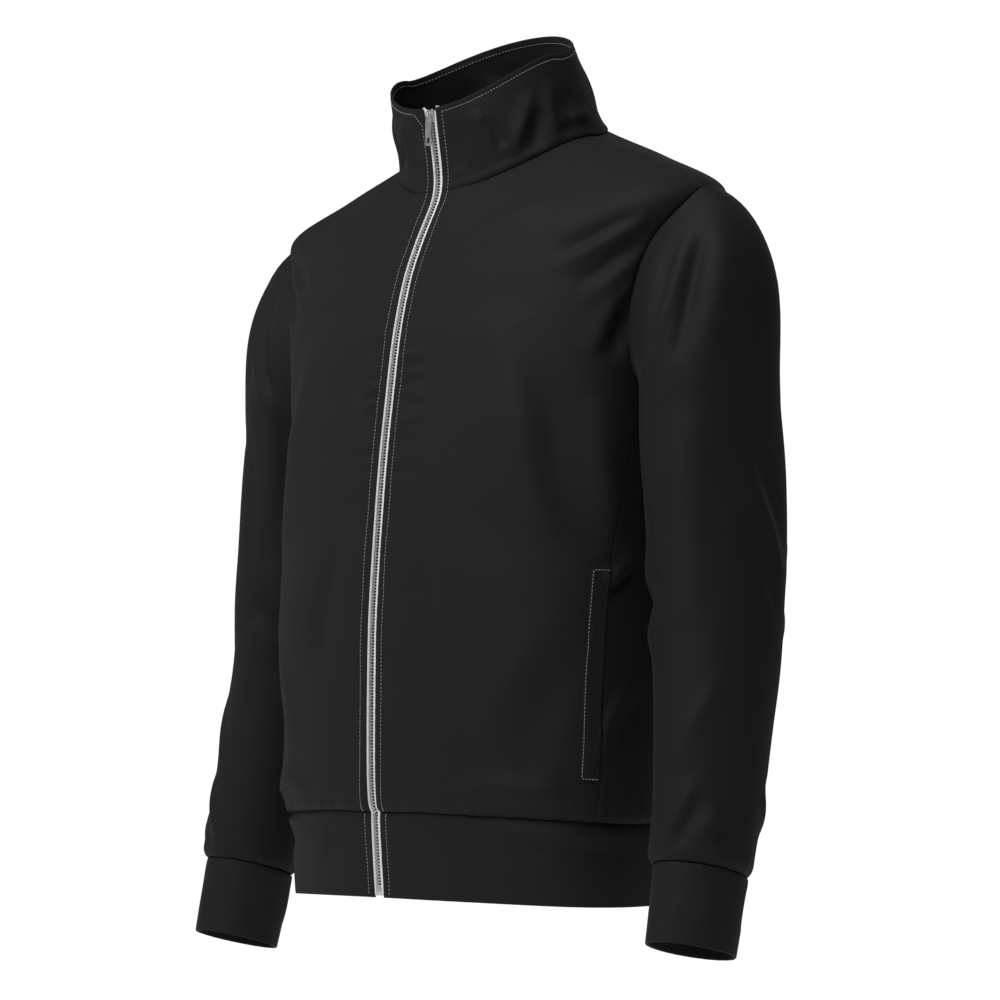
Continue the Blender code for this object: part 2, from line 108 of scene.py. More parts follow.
# --- Sizes of what is added -------------------------------------------------------------------------------
CLOTH, DOUBLE_CLOTH = 0.0011, 0.0022
SEAM_GAP = 0.00006
LOOP_STEPS, CAP_STEPS = 64, 26
EDGE_STEPS = (0, 0.0003, 0.0007, 0.0012, 0.0019, 0.0028, 0.0040)
ZIP_HALF = 0.0053
STITCH_FROM_CENTRE, STITCH_FROM_RIM = 0.0123, 0.0052
STITCH_FROM_ZIP = STITCH_FROM_CENTRE - ZIP_HALF
STITCH_TURNS_OUT = 0.0090
COLLAR_LEVEL = 0.0275  # the height of one of the collar's three levels
RIM_LEVEL = 3 - STITCH_FROM_RIM / COLLAR_LEVEL
PUCKERS_FROM = -0.567
STITCH_PITCH, STITCH_LONG, STITCH_RADIUS = 0.0031, 0.0020, 0.00026
TOOTH_PITCH = 0.0026
SLIDER_Z, CHAIN_TOP, CHAIN_LOW, BOX_LOW = 0.0300, 0.0262, -0.6290, -0.6375
POCKET_TOP, POCKET_BOTTOM, POCKET_WIDTH = -0.367, -0.540, 0.0180

# The tape's section from beside the teeth to its hidden edge. Columns: mm from the centre, mm below the cloth.
TAPE_SECTION = (
    (2.6, 1.2), (2.64, 0.9), (2.7, 0.75), (2.8, 0.7), (3.0, 0.7), (3.4, 0.7),
    (4.2, 0.7), (5.2, 0.8), (6.0, 1.5), (7.5, 2.7), (9.5, 3.1), (12.0, 3.1),
)
# The slider's outline and the pull tab's, its window and its grip hole. Columns: mm across, mm up or down.
SLIDER_OUTLINE = (
    (-2.8, -6.2), (2.8, -6.2), (4.0, -2.0), (4.2, 2.6), (3.0, 4.8),
    (0.8, 4.0), (-0.8, 4.0), (-3.0, 4.8), (-4.2, 2.6), (-4.0, -2.0),
)
TAB_OUTLINE = ((-2.6, -0.6), (2.6, -0.6), (3.3, 6.0), (3.3, 27.0), (-3.3, 27.0), (-3.3, 6.0))
TAB_WINDOW = ((-1.4, 0.6), (1.4, 0.6), (1.4, 5.8), (-1.4, 5.8))
TAB_GRIP = ((-1.7, 20.0), (1.7, 20.0), (1.7, 25.0), (-1.7, 25.0))

# --- Folds ------------------------------------------------------------------------------------------------
# Height (below 0 is a trough) and width in metres, skew, then (place, z) along the fold.
# On the body and collar place is degrees round from the centre front, on the sleeve degrees round the arm.
FRONT_FOLDS = (
    (-0.0042, 0.0065, 0.3, ((50, -0.106), (57, -0.095), (63, -0.084), (70, -0.072))),
    (0.0038, 0.0070, 0.0, ((49, -0.120), (57, -0.108), (65, -0.094), (73, -0.077))),
    (-0.0046, 0.0060, 0.2, ((57, -0.133), (63, -0.121), (69, -0.107), (74, -0.096))),
    (0.0034, 0.0070, 0.0, ((60, -0.148), (66, -0.133), (71, -0.118), (75, -0.108))),
    (0.0049, 0.0085, 0.3, ((64, -0.192), (67, -0.170), (70, -0.148), (75, -0.128))),
    (-0.0065, 0.0100, 0.2, ((70, -0.196), (72, -0.172), (74, -0.152), (76, -0.136))),
    (-0.0068, 0.0230, 0.2, (
        (42, -0.165), (50, -0.205), (55, -0.240), (57, -0.275), (62, -0.318), (69, -0.358)
    )),
    (0.0046, 0.0200, 0.0, ((30, -0.150), (40, -0.190), (46, -0.235), (50, -0.290), (56, -0.345))),
    (0.0049, 0.0160, 0.2, ((66, -0.225), (70, -0.262), (72, -0.300), (75, -0.345))),
    (0.0042, 0.0070, 0.3, ((73, -0.366), (75, -0.376), (79, -0.369), (84, -0.356))),
    (-0.0038, 0.0080, 0.0, ((74, -0.386), (79, -0.380), (84, -0.369))),
    (0.0030, 0.0170, 0.0, ((60, -0.400), (50, -0.440), (42, -0.480), (38, -0.520))),
    (-0.0034, 0.0190, 0.0, ((66, -0.430), (58, -0.470), (52, -0.515), (50, -0.545))),
    (0.0042, 0.0100, 0.2, ((30, -0.556), (42, -0.545), (52, -0.551), (62, -0.546))),
    (-0.0030, 0.0120, 0.0, ((14, -0.330), (20, -0.390), (24, -0.450))),
    (0.0027, 0.0130, 0.0, ((10, -0.095), (22, -0.085), (36, -0.066), (50, -0.046))),
    (-0.0023, 0.0110, 0.0, ((12, -0.075), (24, -0.063), (38, -0.047))),
)
BACK_FOLDS = (
    (0.0029, 0.0075, 0.3, ((84, -0.4585), (79, -0.475), (75, -0.500), (73, -0.525))),
    (-0.0023, 0.0090, 0.0, ((90, -0.470), (84, -0.492), (79, -0.520))),
    (0.0029, 0.0110, 0.0, ((86, -0.372), (94, -0.352), (104, -0.336), (116, -0.330))),
    (-0.0034, 0.0120, 0.2, ((88, -0.390), (98, -0.372), (110, -0.356), (124, -0.348))),
    (0.0031, 0.0120, 0.0, ((112, -0.160), (122, -0.180), (132, -0.210), (138, -0.250))),
    (-0.0036, 0.0110, 0.2, ((106, -0.176), (115, -0.202), (124, -0.238), (129, -0.282))),
    (0.0031, 0.0130, 0.0, ((104, -0.215), (112, -0.250), (118, -0.290), (121, -0.335))),
    (-0.0026, 0.0110, 0.0, ((112, -0.120), (124, -0.132), (136, -0.150))),
    (0.0021, 0.0100, 0.0, ((112, -0.098), (126, -0.104), (140, -0.116))),
    (0.0042, 0.0200, 0.2, ((120, -0.395), (138, -0.412), (158, -0.418), (180, -0.412))),
    (-0.0039, 0.0170, 0.0, ((116, -0.430), (136, -0.448), (158, -0.452), (180, -0.446))),
    (0.0036, 0.0180, 0.0, ((112, -0.475), (134, -0.486), (154, -0.492), (172, -0.488))),
    (-0.0029, 0.0170, 0.0, ((120, -0.515), (140, -0.522), (162, -0.520))),
    (0.0026, 0.0260, 0.0, ((150, -0.120), (156, -0.190), (160, -0.260), (163, -0.330))),
    (0.0018, 0.0140, 0.0, ((150, -0.010), (164, -0.004), (180, 0.002))),
)
# The sleeve's folds, with 0 the outer side of the arm, 90 its front, 180 the body's side and 270 its back.
SLEEVE_FOLDS = (
    (0.0048, 0.0050, 0.3, (
        (44, -0.094), (55, -0.106), (64, -0.132), (76, -0.158), (92, -0.186), (106, -0.210)
    )),
    (0.0048, 0.0065, 0.0, ((92, -0.186), (105, -0.206), (112, -0.235), (113, -0.272), (110, -0.320))),
    (-0.0042, 0.0045, 0.0, ((58, -0.100), (71, -0.126), (84, -0.154), (98, -0.182), (108, -0.200))),
    (-0.0064, 0.0065, 0.3, ((38, -0.086), (47, -0.108), (55, -0.136), (62, -0.168), (72, -0.200))),
    (0.0026, 0.0110, 0.0, ((26, -0.092), (34, -0.130), (42, -0.175), (52, -0.225))),
    (-0.0032, 0.0120, 0.2, ((72, -0.215), (82, -0.250), (88, -0.300), (90, -0.350))),
    (0.0029, 0.0160, 0.0, ((52, -0.240), (58, -0.300), (62, -0.360), (66, -0.420))),
    (-0.0038, 0.0130, 0.2, ((10, -0.255), (352, -0.290), (338, -0.330), (326, -0.370))),
    (0.0035, 0.0110, 0.2, ((20, -0.285), (2, -0.312), (345, -0.345), (330, -0.385))),
    (-0.0035, 0.0100, 0.0, ((28, -0.330), (8, -0.350), (350, -0.376), (334, -0.408))),
    (0.0029, 0.0120, 0.0, ((110, -0.345), (126, -0.365), (146, -0.375), (168, -0.372))),
    (-0.0038, 0.0100, 0.0, ((104, -0.372), (122, -0.392), (144, -0.400), (166, -0.396))),
    (0.0035, 0.0110, 0.0, ((100, -0.400), (118, -0.420), (140, -0.428))),
    (0.0035, 0.0130, 0.2, ((300, -0.340), (280, -0.360), (258, -0.372), (236, -0.374))),
    (-0.0045, 0.0110, 0.0, ((305, -0.372), (284, -0.390), (262, -0.400), (238, -0.400))),
    (0.0038, 0.0120, 0.0, ((310, -0.402), (290, -0.420), (266, -0.430), (240, -0.428))),
    (0.0029, 0.0080, 0.3, ((40, -0.455), (56, -0.480), (70, -0.502), (84, -0.530))),
    (0.0038, 0.0065, 0.3, ((58, -0.536), (70, -0.556), (82, -0.574), (92, -0.590))),
    (-0.0035, 0.0060, 0.0, ((50, -0.548), (62, -0.566), (74, -0.582), (84, -0.596))),
    (0.0029, 0.0070, 0.0, ((32, -0.560), (42, -0.574), (54, -0.586))),
    (-0.0029, 0.0080, 0.0, ((6, -0.560), (18, -0.576), (30, -0.590))),
    (0.0029, 0.0080, 0.0, ((330, -0.548), (316, -0.568), (300, -0.584))),
    (-0.0029, 0.0080, 0.0, ((310, -0.536), (296, -0.560), (280, -0.578))),
    (0.0032, 0.0080, 0.0, ((240, -0.540), (226, -0.562), (210, -0.580))),
    (0.0035, 0.0080, 0.2, ((318, -0.120), (304, -0.150), (288, -0.180), (268, -0.206))),
    (-0.0048, 0.0080, 0.2, ((304, -0.112), (290, -0.140), (274, -0.168), (256, -0.192))),
    (0.0035, 0.0110, 0.0, ((300, -0.200), (286, -0.232), (268, -0.256), (246, -0.270))),
)
COLLAR_FOLDS = (
    (0.0025, 0.0050, 0.2, ((24, 0.026), (30, 0.021), (35, 0.010), (36, -0.004))),
    (-0.0036, 0.0055, 0.0, ((33, 0.022), (39, 0.010), (43, -0.002))),
    (0.0042, 0.0070, 0.2, ((44, -0.010), (51, 0.008), (58, 0.026), (66, 0.046))),
    (-0.0033, 0.0070, 0.0, ((54, -0.006), (61, 0.012), (67, 0.030))),
    (0.0030, 0.0060, 0.0, ((68, 0.002), (71, 0.020), (74, 0.040), (78, 0.056))),
    (-0.0021, 0.0070, 0.0, ((76, 0.008), (82, 0.030), (86, 0.050))),
    (0.0027, 0.0060, 0.2, ((72, 0.018), (80, 0.024), (90, 0.028), (100, 0.034))),
    (0.0027, 0.0110, 0.0, ((118, 0.042), (126, 0.064), (132, 0.086))),
    (-0.0030, 0.0120, 0.0, ((134, 0.046), (144, 0.066), (152, 0.088))),
    (0.0027, 0.0130, 0.0, ((156, 0.048), (164, 0.070), (172, 0.094))),
    (-0.0021, 0.0090, 0.0, ((14, -0.020), (17, 0.000), (19, 0.022))),
)
COLLAR_BOW = [(-0.0050, 0.0200, 0.0, ((28, -0.002), (46, 0.002), (64, 0.010)))]
WAISTBAND_FOLDS = (
    (0.0025, 0.0040, 0.2, ((40, -0.5815), (50, -0.5820), (60, -0.5835), (74, -0.5855), (88, -0.5875))),
    (-0.0028, 0.0060, 0.0, ((46, -0.594), (58, -0.596), (70, -0.599), (84, -0.601))),
    (0.0017, 0.0120, 0.0, ((20, -0.588), (28, -0.606), (34, -0.626))),
    (-0.0017, 0.0130, 0.0, ((100, -0.596), (108, -0.612), (114, -0.632))),
    (0.0020, 0.0140, 0.0, ((132, -0.594), (142, -0.610), (150, -0.630))),
    (-0.0017, 0.0140, 0.0, ((160, -0.594), (168, -0.612), (172, -0.634))),
)
CUFF_FOLDS = (
    (0.0012, 0.0080, 0.0, ((70, -0.628), (76, -0.645), (80, -0.664))),
    (-0.0012, 0.0080, 0.0, ((96, -0.626), (100, -0.644), (102, -0.666))),
    (0.0012, 0.0090, 0.0, ((20, -0.622), (28, -0.640), (34, -0.658))),
    (0.0012, 0.0090, 0.0, ((214, -0.626), (222, -0.644), (228, -0.662))),
    (-0.0012, 0.0090, 0.0, ((300, -0.622), (308, -0.640), (314, -0.660))),
)


# --- Surfaces ---------------------------------------------------------------------------------------------
def unit(vectors):
    return vectors / np.linalg.norm(vectors, axis=-1, keepdims=True)


def smooth(table, v):
    """Row v of a table, between its rows along a smooth curve that passes through each of them."""
    rows = np.asarray(table, float)
    v = float(np.clip(v, 0, len(rows) - 1))
    i = min(int(v), len(rows) - 2)
    t = v - i
    a, b = rows[i], rows[i + 1]
    before = rows[i - 1] if i else 2 * a - b
    after = rows[i + 2] if i + 2 < len(rows) else 2 * b - a
    ta, tb = (b - before) / 2, (after - a) / 2
    near, far = (1 - t) ** 2, t * t
    return a * (1 + 2 * t) * near + ta * t * near + b * far * (3 - 2 * t) + tb * far * (t - 1)


def quarter(row, back):
    """Half a side of one ring, from the centre line to the widest place, and the length along it."""
    z_front, z_side, z_back, half_width, y_front, y_side, y_back, square, _ = row
    turn = np.linspace(0, math.pi / 2, 361)
    across, along = np.sin(turn) ** (2 / square), np.cos(turn) ** (2 / square)
    y_end, z_end = (y_back, z_back) if back else (y_front, z_front)
    rise = np.cos(turn) ** (1.3 if back else 1.6)
    points = np.stack(
        [half_width * across, y_side + (y_end - y_side) * along, z_side + (z_end - z_side) * rise], axis=1
    )
    steps = np.linalg.norm(np.diff(points, axis=0), axis=1)
    return points, np.concatenate([[0], np.cumsum(steps)])


def ring(row, degrees):
    """A ring's points: 0 is the centre front, 90 the wearer's left, 180 the centre back, -90 the right."""
    turned = (np.atleast_1d(np.asarray(degrees, float)) + 180) % 360 - 180
    side = np.abs(turned)
    points = np.empty((len(side), 3))
    for back in (False, True):
        here = (side > 90) == back
        if here.any():
            curve, length = quarter(row, back)
            share = (180 - side[here] if back else side[here]) / 90 * length[-1]
            points[here] = np.stack([np.interp(share, length, curve[:, k]) for k in range(3)], axis=1)
    points[:, 0] *= np.where(turned < 0, -1, 1)
    return points


def metres_per_degree(row):
    return quarter(row, False)[1][-1] / 90


def normals_at(table, v, degrees):
    """The way out of a ring surface at places of one row."""
    low, high = smooth(table, max(v - 0.05, 0)), smooth(table, min(v + 0.05, len(table) - 1))
    row = smooth(table, v)
    degrees = np.atleast_1d(np.asarray(degrees, float))
    along = ring(row, degrees + 0.8) - ring(row, degrees - 0.8)
    up = ring(high, degrees) - ring(low, degrees)
    return unit(np.cross(along, up * np.sign(up[:, 2:])))


def seam(v):
    return smooth(RINGS, v)[8]


def bite(v, widest):
    """How far the armhole cuts into a panel at one level, in degrees."""
    share = (v - ARMPIT) / (SHOULDER - ARMPIT)
    if not 0 < share < 1:
        return 0.0
    return widest * math.sqrt(1 - (2 * share - 1) ** 2) * (1.12 - 0.24 * share)


def even_levels(table, low, high, step):
    """Levels of a table between low and high that stand about step metres apart at the centre front."""
    tries = np.linspace(low, high, 400)
    heights = np.array([smooth(table, v)[0] for v in tries])
    count = max(2, int(round(abs(heights[-1] - heights[0]) / step)) + 1)
    return np.interp(np.linspace(heights[0], heights[-1], count), heights, tries)


def body_levels():
    turns = np.arange(LOOP_STEPS + 1) * math.pi / LOOP_STEPS
    beside = ARMPIT + (SHOULDER - ARMPIT) * (1 - np.cos(turns)) / 2
    low = [0, 0.04, 0.09, 0.16, 0.26, 0.4, 0.55, 0.75]
    top = np.linspace(SHOULDER, NECK - 0.1, 38)[1:]
    near_neck = [NECK - 0.06, NECK - 0.035, NECK - 0.02, NECK - 0.008, NECK]
    return np.concatenate([low, even_levels(RINGS, 1, ARMPIT, 0.0034)[:-1], beside, top, near_neck])


def spread(start, end, scale, columns):
    """Places across a row, close together near both ends. scale is metres per degree."""
    near = np.array(EDGE_STEPS) / scale
    between = np.linspace(start + near[-1], end - near[-1], columns)
    return np.concatenate([start + near[:-1], between, end - near[-2::-1]])


def arm_axis(v):
    return smooth(ARM, min(v + 0.3, len(ARM) - 1))[:3] - smooth(ARM, max(v - 0.3, 0))[:3]


def round_angles():
    return np.arange(2 * LOOP_STEPS) * math.pi / LOOP_STEPS


def arm_section(row, angles, axis):
    """A sleeve section round its axis: 0 is the outer side of the arm, 90 its front, 180 the body's side."""
    x, y, z, across, deep = row
    axis = unit(axis)
    out = unit(np.array([1.0, 0, 0]) - axis[0] * axis)
    front = np.cross(axis, out)
    front = front if front[1] < 0 else -front
    turned = across * np.cos(angles)[:, None] * out + deep * np.sin(angles)[:, None] * front
    return np.array([x, y, z]) + turned


def armhole():
    """The left armhole, from the shoulder down its front and up its back, and the panels' way out there."""
    points, out = [], []
    for k in range(2 * LOOP_STEPS):
        v = ARMPIT + (SHOULDER - ARMPIT) * (1 + math.cos(math.pi * k / LOOP_STEPS)) / 2
        degrees = seam(v) + (-bite(v, BITE_FRONT) if k <= LOOP_STEPS else bite(v, BITE_BACK))
        points.append(ring(smooth(RINGS, v), degrees)[0])
        out.append(normals_at(RINGS, v, degrees)[0])
    return np.array(points), np.array(out)


def tube_normals(grid):
    """The way out of a closed tube of rings that runs down an arm."""
    along = np.gradient(grid, axis=0)
    around = np.roll(grid, -1, axis=1) - np.roll(grid, 1, axis=1)
    return unit(np.cross(around, along))


def sleeve_grid():
    """The left sleeve's outer points, from the armhole over the sleeve head and down to the cuff seam."""
    loop, panel_out = armhole()
    angles = round_angles()
    first = arm_section(smooth(ARM, 0), angles, arm_axis(0))
    c, s = np.cos(angles), np.sin(angles)
    start = unit(np.stack([0.80 + 0.1 * c, -0.45 * s, -0.30 - 0.10 * c], axis=1))
    down = unit(arm_axis(0))
    span = np.linalg.norm(first - loop, axis=1)[:, None]
    shares = np.concatenate([[0, 0.004, 0.010, 0.018, 0.028], np.linspace(0, 1, CAP_STEPS + 1)[1:-1]])
    cap = [
        loop * (1 + 2 * t) * (1 - t) ** 2
        + (1.05 + 0.15 * c[:, None]) * span * start * t * (1 - t) ** 2
        + first * t * t * (3 - 2 * t)
        + 0.9 * span * down * t * t * (t - 1)
        for t in shares
    ]
    steps = np.concatenate([np.linspace(0, 8, 136), [8.2, 8.4, 8.6, 8.75, 8.87, 8.95, 9]])
    grid = np.concatenate([cap, [arm_section(smooth(ARM, v), angles, arm_axis(v)) for v in steps]])
    normals = tube_normals(grid)
    edge = unit(normals[3] + panel_out)
    for k in range(5):
        normals[k] = unit(normals[k] * k / 5 + edge * (1 - k / 5))
    return grid, normals, edge


def cuff_grid():
    angles = round_angles()
    wrist, axis = smooth(ARM, len(ARM) - 1), unit(arm_axis(len(ARM) - 1))
    ends = [0, 0.05, 0.12, 0.22, 0.35, 0.55, 0.8], [2.94, 2.97, 2.985, 3]
    steps = np.concatenate([ends[0], np.linspace(1, 2.9, 26), ends[1]])
    rows = [smooth(CUFF, v) for v in steps]
    grid = np.array([arm_section((*(wrist[:3] + far * axis), *size), angles, axis) for far, *size in rows])
    return grid, tube_normals(grid)


def hung(points, drop):
    """An arm's points let down by a share of drop that grows from the armpit to the wrist."""
    lowered = np.array(points, float)
    lowered[..., 2] -= drop * np.clip((ARM[0][2] - lowered[..., 2]) / (ARM[0][2] - ARM[-1][2]), 0, None)
    return lowered


# --- Creases ----------------------------------------------------------------------------------------------
def curve_through(points, count):
    rows = [smooth(points, v) for v in np.linspace(0, len(points) - 1, count)]
    return np.array(rows)


def fold_height(points, normals, fold, place):
    """A soft ridge or trough along a path, tapered at both ends. place turns (place, z) into a point."""
    height, width, skew, path = fold
    line = curve_through([place(*step) for step in path], 90)
    result = np.zeros(len(points))
    reach = 3 * width
    near = np.where(((points > line.min(0) - reach) & (points < line.max(0) + reach)).all(axis=1))[0]
    if not len(near):
        return result
    away = points[near][:, None] - line[None]
    distance = np.linalg.norm(away, axis=2)
    nearest = distance.argmin(axis=1)
    pick = np.arange(len(near))
    distance = distance[pick, nearest]
    tangent = unit(np.gradient(line, axis=0))[nearest]
    side = np.sum(away[pick, nearest] * np.cross(normals[near], tangent), axis=1)
    wide = width * (1 + skew * np.tanh(side / width))
    share = nearest / (len(line) - 1)
    taper = np.sin(math.pi * np.clip(share, 0, 1)) ** 0.7
    result[near] = height * taper * np.exp(-((distance / wide) ** 2))
    return result


def gathers(along, away, length, pitch, depth, reach, seed, strength=None):
    """Short puckers that run away from a seam, uneven in place, length, depth and slant."""
    random = np.random.default_rng(seed)
    result = np.zeros(along.shape)
    spot = pitch * 0.4
    while spot < length:
        deep, far = depth * random.uniform(0.25, 1), reach * random.uniform(0.4, 1)
        wide, slant = pitch * random.uniform(0.2, 0.36), random.uniform(-0.35, 0.35)
        if strength is not None:
            deep *= strength(spot)
        across = (along - spot - slant * away) / wide
        result += deep * np.exp(-(across**2)) * np.exp(-((away / far) ** 2)) * np.clip(away / 0.0012, 0, 1)
        spot += pitch * random.uniform(0.6, 1.5)
    return result


def drift(points, seed, depth=0.0007):
    """The cloth's soft unevenness, from waves 45 to 150 mm long."""
    random = np.random.default_rng(seed)
    result = np.zeros(len(points))
    for _ in range(9):
        way = unit(random.normal(size=3))
        turns = 2 * math.pi / random.uniform(0.045, 0.150)
        result += np.sin(points @ way * turns + random.uniform(0, 2 * math.pi))
    return depth * result / 3


def edge_distance(grid, closed):
    """How far each point of a grid is from the grid's own edge."""
    edges = [grid[0], grid[-1]]
    if not closed:
        edges += [grid[:, 0], grid[:, -1]]
    line = []
    for edge in edges:
        steps = np.linalg.norm(np.diff(edge, axis=0), axis=1)
        at = np.concatenate([[0], np.cumsum(steps)])
        fine = np.linspace(0, at[-1], int(at[-1] / 0.0006) + 2)
        line.append(np.stack([np.interp(fine, at, edge[:, k]) for k in range(3)], axis=1))
    line = np.concatenate(line)
    tree = KDTree(len(line))
    for i, p in enumerate(line):
        tree.insert(p, i)
    tree.balance()
    return np.array([tree.find(p)[2] for p in grid.reshape(-1, 3)])


def rolled(distance, radius):
    """How far an edge's rounding drops below the face at a distance from the edge."""
    inside = np.clip(1 - distance / radius, 0, 1)
    return radius * (1 - np.sqrt(1 - inside**2))


def band(distance, width, height):
    """The step that a seam's turned-in allowance makes beside it."""
    return height / (1 + np.exp((distance - width) / 0.0008))


# --- Meshes -----------------------------------------------------------------------------------------------
def face_out(obj):
    """Turns every face of a closed mesh outwards."""
    work = bmesh.new()
    work.from_mesh(obj.data)
    bmesh.ops.recalc_face_normals(work, faces=work.faces)
    work.to_mesh(obj.data)
    work.free()
    return obj


def mesh_object(name, points, faces, slot, corner_uv=None, body="jacket"):
    mesh = bpy.data.meshes.new(name)
    mesh.from_pydata(np.asarray(points, float).tolist(), [], [tuple(face) for face in faces])
    mesh.polygons.foreach_set("use_smooth", np.ones(len(mesh.polygons), bool))
    if corner_uv is not None:
        layer = mesh.uv_layers.new(name="UVMap")
        layer.data.foreach_set("uv", np.asarray(corner_uv, np.float32).ravel())
    mesh.update()
    obj = bpy.data.objects.new(name, mesh)
    bpy.context.scene.collection.objects.link(obj)
    obj.data.materials.append(MATERIALS[slot])
    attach(obj, body)
    return obj


def shell(name, outer, inner, around, down, slot, closed=False):
    """A thin shell between two grids. around and down are the UV's metres, one column more if closed."""
    rows, cols = outer.shape[:2]
    points = np.concatenate([outer.reshape(-1, 3), inner.reshape(-1, 3)])
    half = rows * cols
    r, c = np.meshgrid(np.arange(rows - 1), np.arange(cols if closed else cols - 1), indexing="ij")
    r, c = r.ravel(), c.ravel()
    a, b = r * cols + c, r * cols + (c + 1) % cols
    skin = np.stack([a, b, b + cols, a + cols], axis=1)
    corners = [(r, c), (r, c + 1), (r + 1, c + 1), (r + 1, c)]
    skin_uv = np.stack([np.stack([around[i, j], down[i, j]], axis=1) for i, j in corners], axis=1)
    faces, uv = [skin, (skin + half)[:, ::-1]], [skin_uv, skin_uv[:, ::-1]]

    def rim(first, second, uv_first, uv_second):
        faces.append(np.stack([second, first, first + half, second + half], axis=1))
        lift = np.array([0, CLOTH])
        uv.append(np.stack([uv_second, uv_first, uv_first + lift, uv_second + lift], axis=1))

    def place(i, j):
        return np.stack([around[i, j], down[i, j]], axis=1)

    c = np.arange(cols if closed else cols - 1)
    zero, last = np.zeros(len(c), int), np.full(len(c), rows - 1)
    rim(c, (c + 1) % cols, place(zero, c), place(zero, c + 1))
    rim(last * cols + (c + 1) % cols, last * cols + c, place(last, c + 1), place(last, c))
    if not closed:
        r = np.arange(rows - 1)
        zero, last = np.zeros(len(r), int), np.full(len(r), cols - 1)
        rim((r + 1) * cols, r * cols, place(r + 1, zero), place(r, zero))
        rim(r * cols + cols - 1, (r + 1) * cols + cols - 1, place(r, last), place(r + 1, last))
    faces, uv = np.concatenate(faces), np.concatenate(uv)
    return face_out(mesh_object(name, points, faces, slot, uv.reshape(-1, 2)))


def cloth(name, grid, normals, height, thick, around, down, closed=False, side=1):
    """A cloth piece's shell, its face moved out by height and its edges rounded."""
    distance = edge_distance(grid, closed)
    round_off = rolled(distance, thick / 2).reshape(grid.shape[:2])
    height = height.reshape(grid.shape[:2])
    outer = grid + (height - round_off)[..., None] * normals
    inner = grid + (height - thick + round_off)[..., None] * normals
    mirror = np.array([side, 1, 1])
    obj = shell(name, outer * mirror, inner * mirror, around, down, "shell_knit", closed)
    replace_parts(obj, name.removeprefix("cloth_"))
    return obj


# --- Materials --------------------------------------------------------------------------------------------
def start_material(name, color, rough, metallic=0.0, specular=0.5):
    made = bpy.data.materials.new(name)
    made.use_nodes = True
    shader = made.node_tree.nodes["Principled BSDF"]
    shader.inputs["Base Color"].default_value = (*color, 1)
    shader.inputs["Roughness"].default_value = rough
    shader.inputs["Metallic"].default_value = metallic
    shader.inputs["Specular IOR Level"].default_value = specular
    return made, made.node_tree, shader


def node(tree, kind, inputs=(), **settings):
    """A new node. inputs maps an input's name or number to a value or to another node's output."""
    made = tree.nodes.new("ShaderNode" + kind)
    for key, value in settings.items():
        setattr(made, key, value)
    for key, value in dict(inputs).items():
        if isinstance(value, bpy.types.NodeSocket):
            tree.links.new(value, made.inputs[key])
        else:
            made.inputs[key].default_value = value
    return made


def calc(tree, operation, *values):
    return node(tree, "Math", dict(enumerate(values)), operation=operation).outputs[0]


def total(tree, first, *others):
    for other in others:
        first = calc(tree, "ADD", first, other)
    return first


def ranged(tree, value, low, high, low_in=0.0, high_in=1.0):
    inputs = {"Value": value, "From Min": low_in, "From Max": high_in, "To Min": low, "To Max": high}
    return node(tree, "MapRange", inputs).outputs["Result"]


def noise(tree, vector, scale, stretch=(1, 1, 1), detail=2.0):
    moved = node(tree, "Mapping", {"Vector": vector, "Scale": stretch}).outputs["Vector"]
    made = node(tree, "TexNoise", {"Vector": moved, "Scale": scale, "Detail": detail, "Roughness": 0.55})
    return made.outputs["Fac"]


def tinted(tree, shader, color, amount):
    """The base colour times amount, a number near 1 that changes over the surface."""
    made = node(tree, "Mix", {6: (*color, 1), 7: (0, 0, 0, 1)}, data_type="RGBA", blend_type="MIX")
    made.clamp_factor = False
    tree.links.new(calc(tree, "SUBTRACT", 1.0, amount), made.inputs["Factor"])
    tree.links.new(made.outputs[2], shader.inputs["Base Color"])


def bumped(tree, shader, height, strength, distance):
    made = node(tree, "Bump", {"Height": height, "Strength": strength, "Distance": distance})
    tree.links.new(made.outputs["Normal"], shader.inputs["Normal"])


def knit_material():
    """Smooth black technical knit: fine upright wales of V stitches, slight tone changes at random, and
    painted shade in the hollows between the wales.
    """
    color = (0.0118, 0.0118, 0.0122)
    made, tree, shader = start_material("knit_cloth", color, 0.64, specular=0.17)
    shader.inputs["Sheen Weight"].default_value = 0.03
    shader.inputs["Sheen Roughness"].default_value = 0.45
    uv = node(tree, "UVMap", uv_map="UVMap").outputs["UV"]
    split = node(tree, "SeparateXYZ", {"Vector": uv})
    wale = calc(tree, "FRACT", calc(tree, "MULTIPLY", split.outputs["X"], 1 / 0.0011))
    leg = calc(tree, "ABSOLUTE", calc(tree, "SUBTRACT", wale, 0.5))
    course = calc(tree, "MULTIPLY", split.outputs["Y"], 1 / 0.0009)
    slanted = total(tree, course, calc(tree, "MULTIPLY", leg, 0.9))
    loop = calc(tree, "SINE", calc(tree, "MULTIPLY", slanted, 2 * math.pi))
    rib = calc(tree, "SINE", calc(tree, "MULTIPLY", leg, 2 * math.pi))
    fuzz = noise(tree, uv, 2600)
    shares = ((rib, 0.7), (loop, 0.35), (fuzz, 0.8))
    height = total(tree, *(calc(tree, "MULTIPLY", value, share) for value, share in shares))
    bumped(tree, shader, height, 0.30, 0.00022)
    streak = noise(tree, uv, 900, (1, 0.10, 1))
    broad = noise(tree, uv, 7, detail=3.0)
    # streak, fuzz and broad vary the tone at random; the rib term is painted shade, darker where the rib's
    # bump sinks between the wales.
    shade = [ranged(tree, streak, -0.10, 0.10), ranged(tree, fuzz, 0.92, 1.08)]
    shade += [ranged(tree, broad, -0.06, 0.06), ranged(tree, rib, -0.05, 0.03, -1.0, 1.0)]
    tinted(tree, shader, color, total(tree, *shade))
    tree.links.new(ranged(tree, broad, 0.61, 0.68, 0.3, 0.7), shader.inputs["Roughness"])
    return made


